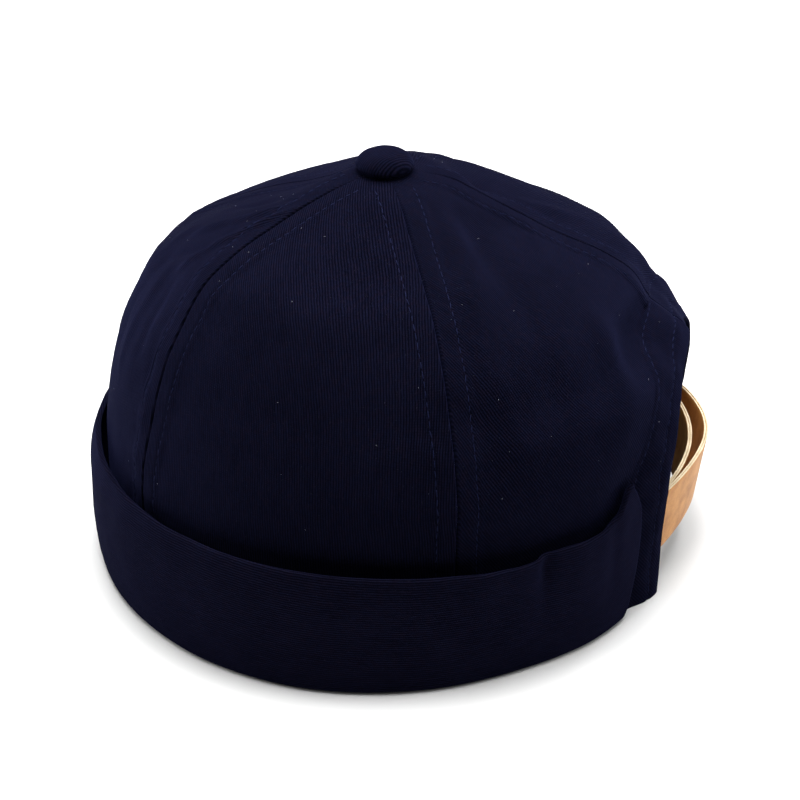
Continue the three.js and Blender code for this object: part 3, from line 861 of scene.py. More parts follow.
@dataclass
class CrownBuilder:
    """Builds the crown's panels, the facing and their stitching.

    Args:
        crown: The crown's surface.
        maker: Makes the meshes.
        cloth: Material of the panels and the facing.
        thread: Material of the stitches.
        columns: Steps across a panel.
        row_step: Distance from one row of points to the next.
        crowding: How much closer together the columns lie near a seam.
        hem_columns: Steps across the hem.
        legs: Steps up the upright sides of the hem.
        arcs: Steps round each half of its arch.
        lean_run: Distances up a panel between which the ribs change their lean.
        facing_gap: Gap between the panels and the facing.
        seam_foot: Height where the stitching starts.
        seam_top: Distance under the crown's top where it stops.
        seam_meeting: Share of the rows' distance at which they stop short of each other.
    """

    crown: Crown
    maker: MeshMaker
    cloth: bpy.types.Material
    thread: bpy.types.Material
    columns: int = 84
    row_step: float = 1.7
    hem_columns: int = 24
    legs: int = 30
    arcs: int = 56
    crowding: float = 0.86
    lean_run: tuple[float, float] = (50.0, 125.0)
    facing_gap: float = 0.25
    seam_foot: float = 8.0
    seam_top: float = 3.0
    seam_meeting: float = 1.62

    def across(self) -> Array:
        """Places across a panel from 0 to 1, closer together near its seams."""
        even = np.linspace(0, 1, self.columns + 1)
        return even - self.crowding * np.sin(2 * math.pi * even) / (2 * math.pi)

    def heights(self, start: float) -> Array:
        """Heights of the rows from a start to the top, even along the cloth.

        Args:
            start: Height of the lowest row.

        Returns:
            Heights in millimetres.
        """
        fine = np.linspace(start, self.crown.height, 400)
        points = self.crown.outer(np.full(fine.shape, Seam.LEFT.value), fine)
        run = np.concatenate([[0.0], np.cumsum(np.linalg.norm(np.diff(points, axis=0), axis=1))])
        count = int(run[-1] / self.row_step)
        return np.interp(np.linspace(0, run[-1], count + 1), run, fine)

    def patch(self, panel: Panel, turn: Array, height: Array) -> Patch:
        """Points and cloth coordinates of a grid of turns and heights.

        Args:
            panel: Panel that the grid is part of.
            turn: Turns in degrees.
            height: Heights in millimetres.

        Returns:
            Points and cloth coordinates in millimetres.
        """
        points = self.crown.point(turn, height)
        middle = panel.start.value + panel.width / 2
        aside = np.radians(turn_from(turn, middle)) * np.hypot(points[..., 0], points[..., 1])
        fine = np.linspace(0, self.crown.height, 300)
        line = self.crown.outer(np.full(fine.shape, middle), fine)
        steps = np.linalg.norm(np.diff(line, axis=0, prepend=line[:1]), axis=1)
        run = np.cumsum(steps)
        change = panel.lean_high - panel.lean_low
        lean = np.radians(panel.lean_low + change * smooth_step(run, *self.lean_run))
        drift = np.interp(height, fine, np.cumsum(np.sin(lean) * steps))
        lean = np.interp(height, fine, lean)
        along = np.interp(height, fine, run)
        return points, np.stack([aside * np.cos(lean) + drift, along - aside * np.sin(lean)], axis=-1)

    def hem(self, way: int) -> tuple[Array, Array]:
        """Turns and heights of the hem beside the opening, in columns out from its edge.

        Args:
            way: 1 for the left side and -1 for the right.

        Returns:
            Turns in degrees and heights.
        """
        opening = self.crown.opening
        out = opening.hem * np.linspace(0, 1, self.hem_columns + 1) ** 1.35
        sides = [opening.side(way, distance, self.legs, self.arcs) for distance in out]
        x = np.array([side[0] for side in sides])
        height = np.array([side[1] for side in sides])
        return self.crown.turn_at_x(x, height), height

    def panel_patches(self, panel: Panel) -> list[Patch]:
        """Patches of a panel, going round the opening where the panel has a side on it.

        Args:
            panel: The panel.

        Returns:
            The patches: hem, beside the hem and above the opening, or the whole panel.
        """
        start, part = panel.start.value, self.across()

        def level(height: Array) -> Sequence[Array]:
            """Turns and heights of rows that cross the whole panel."""
            return np.broadcast_arrays(start + panel.width * part[None, :], height[:, None])

        if Seam.BACK not in (panel.start, panel.end):
            return [self.patch(panel, *level(self.heights(0.0)))]
        turn, height = self.hem(1 if panel.end is Seam.BACK else -1)
        turn = turn if start < Seam.BACK.value else np.maximum(turn, Seam.BACK.value)
        first, last = (start, turn[-1]) if panel.end is Seam.BACK else (turn[-1], panel.end.value)
        first, last = np.broadcast_arrays(first, last)
        beside = first[:, None] + (last - first)[:, None] * part[None, :]
        return [
            self.patch(panel, turn, height),
            self.patch(panel, *np.broadcast_arrays(beside, height[-1][:, None])),
            self.patch(panel, *level(self.heights(height[-1][-1]))),
        ]

    def build_panels(self) -> None:
        """Makes the five panels."""
        middle = self.maker.place.inside()
        for panel in PANELS:
            piece = self.maker.sheet(panel.name, self.panel_patches(panel), lambda spot: spot - middle)
            piece.data.materials.append(self.cloth)
            thicken(piece, self.crown.wall, -1.0)
            declare(piece, "crown_twill", panel.node)

    def build_facing(self) -> None:
        """Makes the strip of cloth inside the hem."""
        patches = []
        for way in (1, -1):
            turn, height = self.hem(way)
            turn, height = turn[::2], height[::2]
            points = self.crown.point(turn, height, self.crown.wall + self.facing_gap, detail=False)
            slack = 0.25 * cloth_noise(points, 9.0, 8.1) ** 2
            points -= self.crown.outward(turn, height) * slack[..., None]
            out = self.crown.opening.beside(points[..., 0], height)
            patches.append((points, np.stack([out, height * 1.2], axis=-1)))
        inside = self.maker.place.inside()
        piece = self.maker.sheet("hem_facing", patches, lambda spot: spot - inside)
        piece.data.materials.append(self.cloth)
        thicken(piece, self.crown.opening.facing_wall, -1.0)
        declare(piece, "crown_twill", "back_facing")

    def build_stitching(self) -> None:
        """Sews a row on each side of every seam and two rows round the hem."""
        rows = Stitching(self.maker)
        crown = self.crown
        for seam in Seam:
            low = crown.opening.height + crown.opening.hem if seam is Seam.BACK else self.seam_foot
            height = np.linspace(low, crown.height - self.seam_top, 320)
            for side in (-1, 1):
                turn = np.full(height.shape, seam.value)
                for _ in range(3):
                    spot = crown.outer(turn, height)
                    reach = np.hypot(spot[..., 0], spot[..., 1])
                    turn = seam.value + side * np.degrees(crown.row_offset / reach)
                keep = reach > crown.row_offset * self.seam_meeting
                turn, level = turn[keep], height[keep]
                rows.row(crown.point(turn, level), crown.outward(turn, level))
        for distance in crown.opening.stitch_rows:
            for way in (1, -1):
                x, height = crown.opening.side(way, distance, 60, 120)
                turn = crown.turn_at_x(x, height)
                rows.row(crown.point(turn, height), crown.outward(turn, height))
        rows.finish("crown_stitching", "crown_twill", self.thread)


@dataclass
class Cuff:
    """The turned-up cuff: a flat fold on the floor, a standing wall and a rounded edge.

    Args:
        crown: The crown that it goes round.
        maker: Makes the mesh.
        cloth: Material of the cuff, a lighter copy of the crown's twill that stands in as painted light for
            the light the cuff lacks.
        wall: Thickness of the doubled cloth.
        height: Height of the standing wall.
        stand: How far its foot stands out from the crown.
        flare: How far it swells between its foot and its edge.
        end_turn: Turn of its left end; the right end mirrors it.
        clearance: Gap between the crown and the cuff.
        end_reach: How far from an end its rounding reaches, in degrees.
        foot_fade: Power with which a foot set out or in fades towards the edge.
        corner: Height where the fold at the foot turns upright.
        corner_round: How far that turn reaches inwards.
        turns: Steps round the cuff.
        crowding: Power that sets the steps closer together near the ends.
        rib_drift: How far the ribs drift upwards along the cuff, as a share.
        rib_bend: How fast that drift changes along the cuff.
    """

    crown: Crown
    maker: MeshMaker
    cloth: bpy.types.Material
    wall: float = 2.0
    height: float = 43.5
    stand: float = 4.6
    flare: float = 1.2
    end_turn: float = 58.0
    clearance: float = 0.5
    end_reach: float = 14.0
    foot_fade: int = 8
    corner: float = 3.0
    corner_round: float = 1.9
    turns: int = 420
    crowding: float = 1.08
    rib_drift: float = 0.10
    rib_bend: float = 0.0011

    def __post_init__(self) -> None:
        """Fills the tables of the edge, of the section and of the rounded ends."""
        edge = (
            (-238, 1.160, -0.040, 0.000),
            (-235, 1.170, -0.030, 0.000),
            (-230, 1.020, 0.000, 0.000),
            (-190, 1.000, 0.020, 0.000),
            (-140, 1.020, 0.012, 0.020),
            (-92, 1.020, 0.002, 0.050),
            (-70, 1.010, -0.004, 0.032),
            (-50, 1.010, 0.010, 0.032),
            (-35, 1.010, 0.022, 0.044),
            (-20, 1.010, 0.030, 0.046),
            (8, 0.980, 0.026, 0.008),
            (28, 0.955, 0.026, -0.024),
            (36, 0.975, 0.002, -0.014),
            (45, 0.955, 0.020, 0.000),
            (50, 1.000, 0.006, 0.000),
            (55, 1.170, -0.030, 0.000),
            (58, 1.160, -0.040, 0.000),
        )
        self.edge = Table("turn", [dict(zip(("turn", "height", "out", "foot"), row)) for row in edge])
        section = ((0.035, -0.25), (0.120, 0.45), (0.300, 0.90), (0.550, 1.00), (0.800, 1.15), (0.965, 0.75))
        self.section = Table("rise", [dict(zip(("rise", "out"), row)) for row in section])
        ends = ((0.00, -3.0), (0.25, -1.6), (0.50, 0.6), (0.75, 1.0), (0.90, -0.4), (1.00, -3.0))
        self.ends = Table("rise", [dict(zip(("rise", "turn"), row)) for row in ends])

    def rounded_end(self, turn: Array, rise: Array) -> Array:
        """Turns of places at a rise, with the cuff's ends rounded.

        Args:
            turn: Turns in degrees.
            rise: Heights as shares of the whole, from 0 to 1.

        Returns:
            Turns in degrees.
        """
        to_end = 90 + self.end_turn - np.abs(turn + 90)
        near = 1 - smooth_step(to_end, 0, self.end_reach)
        return turn + np.sign(turn + 90) * self.ends.at(rise, "turn") * near

    def face(self, turn: Array, rise: Array) -> tuple[Array, Array]:
        """Radius and height of the outer face at a rise from 0 to 1.

        Args:
            turn: Turns in degrees.
            rise: Heights as shares of the whole, from 0 to 1.

        Returns:
            Radii and heights in millimetres.
        """
        height = rise * self.height * self.edge.at(turn, "height")
        lean = self.height * self.edge.at(turn, "out") * rise**2
        foot = self.height * self.edge.at(turn, "foot") * (1 - rise**self.foot_fade)
        base = self.crown.radius + self.stand + foot + self.crown.push_at(turn, height / self.crown.height)
        clear = self.crown.wall_radius(turn, height) + self.clearance + self.wall
        return np.maximum(base + self.flare * self.section.at(rise, "out") + lean, clear), height

    def loop(self, place: Array) -> tuple[Array, Array, Array, Array]:
        """The closed sections round the cuff: foot, outer face, edge and inner face.

        Args:
            place: Turns of the sections.

        Returns:
            Turns, radii, heights and distances along the section.
        """
        wall, half = self.wall, self.wall / 2
        turn = self.rounded_end(place[:, None], 0.0)
        foot = self.crown.wall_radius(turn, np.zeros_like(turn)) + self.clearance
        corner_rise = self.corner / self.height
        corner, corner_height = self.face(turn, np.full_like(turn, corner_rise))
        flat = corner - self.corner_round
        across = np.linspace(0, 1, 5)[None, :]
        parts = [(turn, foot + (flat - foot) * across, 0 * flat)]
        bend = np.linspace(0, math.pi / 2, 6)[None, 1:-1]
        parts.append((turn, flat + (corner - flat) * np.sin(bend), corner_height * (1 - np.cos(bend))))
        rise = np.linspace(corner_rise, 1 - half / self.height, 44)[None, :]
        turns = self.rounded_end(place[:, None], rise)
        radius, height = self.face(turns, rise)
        parts.append((turns, radius, height))
        bend = np.linspace(0, math.pi, 8)[None, 1:-1]
        tip, tip_height = radius[:, -1:], height[:, -1:]
        parts.append((turns[:, -1:], tip - half + half * np.cos(bend), tip_height + half * np.sin(bend)))
        parts.append((turns[:, ::-2], radius[:, ::-2] - wall, height[:, ::-2]))
        parts.append((turn, np.maximum(radius[:, :1] - wall, foot + 0.2), 0 * foot + wall))
        parts.append((turn, foot, 0 * foot + wall * 0.85))
        parts.append((turn, foot, 0 * foot))
        spread = [np.broadcast_arrays(*part) for part in parts]
        turns, radius, height = (np.concatenate([part[k] for part in spread], axis=1) for k in range(3))
        steps = np.hypot(np.diff(radius, axis=1), np.diff(height, axis=1))
        run = np.concatenate([np.zeros((len(turn), 1)), np.cumsum(steps, axis=1)], axis=1)
        return turns, radius, height, run

    def relief(self, points: Array, turn: Array, height: Array) -> Array:
        """How far folds and unevenness lift the standing wall.

        Args:
            points: Points in millimetres, with three values in the last axis.
            turn: Turns in degrees.
            height: Heights in millimetres.

        Returns:
            Lift along the surface's normal, in millimetres.
        """
        free = smooth_step(height, 4.0, 20.0)
        result = 0.55 * cloth_noise(points * np.array([1, 1, 0.5]), 26.0, 4.4)
        result += 0.22 * cloth_noise(points, 9.0, 2.2)
        for fold in CUFF_FOLDS:
            result += fold.lift * bell(turn_from(turn, fold.turn), fold.reach) * smooth_step(height, 8, 34)
        pinch = bell(turn_from(turn, CUFF_FOLDS[2].turn), 1.5) * bell(height - 37, 6.0)
        result -= 1.3 * pinch
        return free * result

    def build(self) -> None:
        """Makes the cuff as one closed body with rounded ends."""
        span = 180.0 + 2 * self.end_turn
        even = np.linspace(-1, 1, self.turns + 1)
        share = np.sign(even) * (1 - (1 - np.abs(even)) ** self.crowding)
        turns, radius, height, run = self.loop(-90.0 + share * span / 2)
        end = (1 - np.abs(share)) * math.radians(span / 2) * self.crown.radius
        half = self.wall / 2
        round_end = np.sqrt(np.clip(1 - (1 - np.clip(end / half, 0, 1)) ** 2, 0.0, 1))[:, None]
        angle = np.radians(turns)
        points = np.stack([radius * np.cos(angle), radius * np.sin(angle), height], axis=-1)
        lift = self.relief(points, turns, height)
        radius = radius + lift
        centre = self.centre_line(radius, height)
        radius = centre + (radius - centre) * round_end
        points = np.stack([radius * np.cos(angle), radius * np.sin(angle), height], axis=-1)
        around = angle * self.crown.radius
        drift = self.rib_drift * around - self.rib_bend * around * np.abs(around)
        cloth = np.stack([run + drift, around], axis=-1)
        piece = self.maker.sheet("turned_cuff", [(points, cloth)], None)
        piece.data.materials.append(self.cloth)
        declare(piece, "cuff_twill", "cuff")

    @staticmethod
    def centre_line(radius: Array, height: Array) -> Array:
        """Middle of the wall at each height, for closing the cuff's two ends.

        Args:
            radius: Radii of the sections' points.
            height: Their heights.

        Returns:
            Radii of the middle, for each point.
        """
        result = np.empty_like(radius)
        for row in range(len(radius)):
            low = int(np.argmax(height[row]))
            outer = np.interp(height[row], height[row][4:low + 1], radius[row][4:low + 1])
            order = np.argsort(height[row][low:])
            inner = np.interp(height[row], height[row][low:][order], radius[row][low:][order])
            result[row] = (outer + inner) / 2
        return result


@dataclass
class Button:
    """The cloth-covered button on the crown's top.

    Args:
        crown: The crown that it sits on.
        maker: Makes the mesh.
        cloth: Material of its cover.
        radius: Radius of the button.
        rim: Height of its rim's widest line over the seat.
        dome: Height of its top over that line.
        plate_radius: Radius of the plate inside the crown.
        plate: Thickness of that plate.
        gap: Gap to the crown.
        tuck: Angle under the rim where the round starts, in radians.
        dome_steps: Steps of the round.
        rib_lean: Lean of the ribs on its cover, in degrees.
    """

    crown: Crown
    maker: MeshMaker
    cloth: bpy.types.Material
    radius: float = 9.3
    rim: float = 1.6
    dome: float = 4.6
    plate_radius: float = 6.5
    plate: float = 0.9
    gap: float = 0.3
    tuck: float = -0.5
    dome_steps: int = 18
    rib_lean: float = 38.0

    def profile(self) -> list[tuple[float, float]]:
        """Radius and height of the button's outline, from the plate's middle to the dome's top.

        Returns:
            Pairs of radius and height.
        """
        crown = self.crown
        slope = crown.top_drop / (crown.button_radius - crown.top_radius)

        def seat(radius: float) -> float:
            """Height of the crown's outer face at a radius."""
            return crown.height - slope * (radius - crown.top_radius)

        def under(radius: float) -> float:
            """Height just under the crown's cloth at a radius."""
            return seat(radius) - crown.wall - 2 * self.gap

        neck = crown.top_radius - crown.wall - self.gap
        rim = seat(self.radius - self.rim / 2) + self.gap
        plate_top = under(self.plate_radius)
        tucked, edge = self.radius * 0.72, self.radius * 0.93
        outline = [
            (0.0, plate_top - self.plate),
            (self.plate_radius, plate_top - self.plate),
            (self.plate_radius, plate_top),
            (neck, under(neck)),
            (neck, seat(neck) + self.gap),
            (tucked, seat(tucked) + self.gap + 0.1),
            (edge, rim + 0.1),
        ]
        for step in range(self.dome_steps + 1):
            angle = self.tuck + (math.pi / 2 - self.tuck) * step / self.dome_steps
            drum = math.cos(angle) ** 0.72 if angle < math.pi / 2 else 0.0
            rise = math.copysign(abs(math.sin(angle)) ** 1.15, angle)
            swell = 1.0 if rise > 0 else 0.55
            outline.append((self.radius * drum, rim + self.rim + self.dome * rise * swell))
        outline[-1] = (0.0, outline[-1][1])
        return outline

    def build(self) -> None:
        """Spins the outline and pulls small gathers into its rim."""
        bm = bmesh.new()
        layer = bm.loops.layers.uv.new("cloth")
        verts = [bm.verts.new(Vector((radius, 0.0, height))) for radius, height in self.profile()]
        edges = [bm.edges.new(pair) for pair in zip(verts, verts[1:])]
        bmesh.ops.spin(bm, geom=verts + edges, cent=(0, 0, 0), axis=(0, 0, 1), angle=2 * math.pi, steps=96)
        bmesh.ops.remove_doubles(bm, verts=bm.verts, dist=0.01)
        rim_height = self.crown.height + 1.0
        for vert in bm.verts:
            reach = math.hypot(vert.co.x, vert.co.y)
            if vert.co.z > self.crown.height - 1.6 and reach > 1e-4:
                low = math.exp(-(((vert.co.z - rim_height) / 1.6) ** 2))
                gather = 0.16 * low * noise.noise(Vector((vert.co.x, vert.co.y, 0)).normalized() * 4.5)
                rough = 0.12 * noise.noise(vert.co / 3.0)
                vert.co.x *= 1 + (gather + rough) / reach
                vert.co.y *= 1 + (gather + rough) / reach
                vert.co.z += 0.22 * noise.noise(vert.co / 5.0 + Vector((7, 3, 1)))
        lean = math.radians(self.rib_lean)
        for face in bm.faces:
            for loop in face.loops:
                x, y, z = loop.vert.co
                across = x * math.cos(lean) + y * math.sin(lean)
                loop[layer].uv = (across, y * math.cos(lean) - x * math.sin(lean) + z)
        for vert in bm.verts:
            vert.co = self.maker.place.metres(np.array(vert.co))
        bmesh.ops.recalc_face_normals(bm, faces=bm.faces)
        piece = self.maker.link("covered_button", bm)
        piece.data.materials.append(self.cloth)
        declare(piece, "crown_twill", "top_button")


def between(place: Array, low: float, high: float, first: Array, last: Array) -> Array:
    """Straight mix of two points that are reached at low and at high."""
    return (high - place) / (high - low) * first + (place - low) / (high - low) * last


def smooth_path(points: Sequence[Array], steps: int) -> Array:
    """Points spaced evenly along a smooth curve through the given ones.

    Args:
        points: Points that the curve goes through.
        steps: Number of steps along it.

    Returns:
        The points, one more than the steps.
    """
    given = np.array(points)
    padded = np.concatenate([[2 * given[0] - given[1]], given, [2 * given[-1] - given[-2]]])
    knots = np.concatenate([[0.0], np.cumsum(np.linalg.norm(np.diff(padded, axis=0), axis=1) ** 0.5)])
    fine = []
    for i in range(1, len(padded) - 2):
        t = np.linspace(knots[i], knots[i + 1], 24, endpoint=i == len(padded) - 3)[:, None]
        k, p = knots[i - 1:i + 3], padded[i - 1:i + 3]
        a = [between(t, k[j], k[j + 1], p[j], p[j + 1]) for j in range(3)]
        b = [between(t, k[j], k[j + 2], a[j], a[j + 1]) for j in range(2)]
        fine.append(between(t, k[1], k[2], b[0], b[1]))
    line = np.concatenate(fine)
    run = np.concatenate([[0.0], np.cumsum(np.linalg.norm(np.diff(line, axis=0), axis=1))])
    even = np.linspace(0, run[-1], steps + 1)
    return np.stack([np.interp(even, run, line[:, k]) for k in range(line.shape[1])], axis=-1)


@dataclass
class Strap:
    """The leather strap, its tab and its brass buckle.

    Args:
        crown: The crown whose opening it spans.
        maker: Makes the meshes.
        leather: Material of the faces.
        edge: Material of the cut edges.
        width: Width of the strap.
        thickness: Thickness of its two plies.
        top: Height of the strap's top edge on the left.
        rise: How much higher it is on the right.
        bow: How far it bows out from the line between the hems.
        skew: Power that moves the bow's peak to the right.
        fullness: Power that makes the bow fuller than an arch.
        lean: How far its lower edge lies inside its top edge at the middle.
        anchor: Length that the hem hides.
        clearance: Gap between the facing and the strap.
        spacing: Distances between the middles of the two runs, on the left and at the buckle.
        fold_at: Share of the bow where the strap folds back.
        wire: Thickness of the buckle's wire.
        buckle_reach: Distance between the buckle's two bars.
        tab_thickness: Thickness of the tab.
        tab_width: Width of the tab.
        tab_length: Length of each of its legs.
        tab_slack: How much looser than the wire its fold is.
        tab_opening: How far its legs stand apart near the fold, in radii of the fold.
        gap: Gap between touching pieces.
        strap_steps: Steps along the strap.
        tab_steps: Steps along the tab.
    """

    crown: Crown
    maker: MeshMaker
    leather: bpy.types.Material
    edge: bpy.types.Material
    width: float = 22.0
    thickness: float = 1.5
    top: float = 33.0
    rise: float = 4.8
    bow: float = 14.0
    skew: float = 1.1
    fullness: float = 0.8
    lean: float = 0.6
    anchor: float = 11.0
    clearance: float = 0.7
    spacing: tuple[float, float] = (1.9, 6.2)
    fold_at: float = 0.96
    wire: float = 2.2
    buckle_reach: float = 12.5
    tab_thickness: float = 1.3
    tab_width: float = 18.0
    tab_length: float = 13.0
    tab_slack: float = 0.25
    tab_opening: float = 1.6
    gap: float = 0.3
    strap_steps: int = 180
    tab_steps: int = 60

    @property
    def inside(self) -> float:
        """Depth of the strap's seat inside the facing."""
        return self.crown.wall + self.gap + self.crown.opening.facing_wall + self.clearance

    def hem(self, x: float, height: float, depth: float) -> Array:
        """Place in plan at a given x, height and depth inside the hem."""
        turn = self.crown.turn_at_x(np.array(x), np.array(height))
        return self.crown.point(turn, np.array(height), depth, detail=False)[:2]

    def bow_plan(self, part: float, inside: float, drop: float) -> Array:
        """Place in plan on the strap's bow, below its top edge by a drop.

        Args:
            part: Share of the way from the left hem to the right.
            inside: Distance inside the bow.
            drop: Distance below the top edge.

        Returns:
            Place in x and y.
        """
        half = self.crown.opening.half_width
        left = self.hem(half, self.top - drop, self.inside)
        chord = self.hem(-half, self.top + self.rise - drop, self.inside) - left
        outward = np.array([chord[1], -chord[0]]) / np.linalg.norm(chord)
        lean = self.lean * drop / self.width * math.sin(math.pi * part)
        bow = self.bow * math.sin(math.pi * part**self.skew) ** self.fullness
        return left + chord * part + outward * (bow - lean - inside)

    def spacing_at(self, part: float) -> float:
        """Distance between the middles of the two runs."""
        near, far = self.spacing
        return near + (far - near) * float(smooth_step(np.array(part), 0, 0.75))

    def fold_middle(self, drop: float) -> Array:
        """Middle of the fold round the buckle's near bar."""
        return self.bow_plan(self.fold_at, (self.thickness + self.spacing_at(self.fold_at)) / 2, drop)

    def plan(self, drop: float) -> list[Array]:
        """The strap's middle line in plan: hidden end, outer run, fold, inner run and tail.

        Args:
            drop: Distance below the top edge.

        Returns:
            Places in x and y.
        """
        half, hem_x = self.thickness / 2, self.crown.opening.half_width

        def hidden(part: float, inside: float) -> Array:
            """Place on a stretch that the hem hides."""
            return self.hem(hem_x + part * self.anchor, self.top - drop, self.inside + half + inside)

        runs = (0.06, 0.16, 0.28, 0.4, 0.5, 0.6, 0.72, 0.84, 0.92, self.fold_at)
        outer = [self.bow_plan(part, half, drop) for part in runs]
        inner = [self.bow_plan(part, half + self.spacing_at(part), drop) for part in reversed(runs)]
        middle = self.fold_middle(drop)
        across = outer[-1] - middle
        onward = np.array([-across[1], across[0]])
        angles = [math.pi * part for part in (0.25, 0.5, 0.75)]
        fold = [middle + across * math.cos(angle) + onward * math.sin(angle) for angle in angles]
        tail = [hidden(part, self.spacing[0]) for part in (0.2, 0.6)]
        return [hidden(1, 0), hidden(0.6, 0), hidden(0.2, 0), *outer, *fold, *inner, *tail]

    def tab_plan(self, drop: float) -> list[Array]:
        """The tab's middle line in plan: outer leg, fold round the far bar, inner leg.

        Args:
            drop: Distance below the top edge.

        Returns:
            Places in x and y.
        """
        height = self.top + self.rise - (self.width - self.tab_width) / 2 - drop
        fold_radius = self.wire * math.sqrt(2) / 2 + self.gap + self.tab_slack + self.tab_thickness / 2
        bar_x = self.fold_middle(self.width / 2)[0] - self.buckle_reach
        depth = self.inside + self.tab_thickness / 2

        def leg(part: float, inside: float) -> Array:
            """Place on a leg of the tab."""
            return self.hem(bar_x - part * self.tab_length, height, depth + inside)

        bar = leg(0, fold_radius)
        out = leg(0, 0) - bar
        onward = np.array([out[1], -out[0]])
        angles = [math.pi * part for part in (0, 0.25, 0.5, 0.75, 1)]
        fold = [bar + out * math.cos(angle) + onward * math.sin(angle) for angle in angles]
        doubled = self.tab_thickness + 2 * self.gap
        outer_leg = [leg(1, 0), leg(0.6, 0), leg(0.25, 0)]
        inner_leg = [leg(0.25, self.tab_opening * fold_radius), leg(0.6, doubled), leg(1, doubled)]
        return [*outer_leg, *fold, *inner_leg]

    def band(
        self,
        name: str,
        plan: Callable[[float], list[Array]],
        tops: Array,
        width: float,
        thickness: float,
        plies: int,
    ) -> bpy.types.Object:
        """A leather band along a plan.

        Args:
            name: Name of the piece.
            plan: Middle line in plan at a distance below the top edge.
            tops: Heights of the top edge along the band.
            width: Width of the band.
            thickness: Thickness of all its plies.
            plies: Number of plies.

        Returns:
            The piece, with leather in its first slot and the cut edge in its second.
        """
        steps = len(tops) - 1
        lines = [smooth_path(plan(drop), steps) for drop in (0.0, width)]
        levels = np.linspace(0, 1, 13)[:, None, None]
        flat = lines[0][None] * (1 - levels) + lines[1][None] * levels
        along = np.gradient(flat, axis=1)
        along /= np.linalg.norm(along, axis=-1, keepdims=True)
        side = np.stack([along[..., 1], -along[..., 0]], axis=-1)
        ply = thickness / plies
        run = np.cumsum(np.linalg.norm(np.gradient(flat, axis=1), axis=-1), axis=1)
        height = tops[None, :] - width * levels[..., 0]
        patches = []
        for number in range(plies):
            offset = (number - (plies - 1) / 2) * ply
            soft = 0.10 * cloth_noise(np.concatenate([flat, height[..., None]], axis=-1), 9.0, 2.5 + number)
            plan_points = flat + side * (offset + soft * 0.4)[..., None]
            points = np.concatenate([plan_points, height[..., None]], axis=-1)
            patches.append((points, np.stack([run, width * levels[..., 0] + 0 * run], axis=-1)))
        piece = self.maker.sheet(name, patches, None)
        piece.data.materials.append(self.leather)
        piece.data.materials.append(self.edge)
        thicken(piece, ply * 0.93, 0.0, rim_slot=1)
        bevel = piece.modifiers.new("worn_edge", "BEVEL")
        bevel.width = 0.14 * MM
        bevel.segments = 2
        bevel.limit_method = "ANGLE"
        bevel.angle_limit = math.radians(50)
        bevel.material = -1
        return piece

    def build(self) -> None:
        """Makes the strap and its tab."""
        share = np.linspace(0, 1, self.strap_steps + 1)
        spread = np.clip((1 - 2 * np.abs(share - 0.5)) / 0.6, 0, 1)
        tops = self.top + self.rise * smooth_step(spread, 0, 1)
        strap = self.band("leather_strap", self.plan, tops, self.width, self.thickness, 2)
        declare(strap, "strap_leather", "strap")
        tab_top = self.top + self.rise - (self.width - self.tab_width) / 2
        tab_tops = np.full(self.tab_steps + 1, tab_top)
        tab = self.band("leather_tab", self.tab_plan, tab_tops, self.tab_width, self.tab_thickness, 1)
        declare(tab, "strap_leather", "strap_tab")

    @staticmethod
    def finish_buckle(buckle: bpy.types.Object, brass: bpy.types.Material) -> None:
        """Rounds the CAD buckle's wire and gives it its finish.

        Args:
            buckle: The CAD node's object, which stays in place.
            brass: Material of the wire.
        """
        bevel = buckle.modifiers.new("round_wire", "BEVEL")
        bevel.width = 0.75 * MM
        bevel.segments = 4
        bevel.limit_method = "ANGLE"
        bevel.angle_limit = math.radians(40)
        buckle.data.materials.clear()
        buckle.data.materials.append(brass)


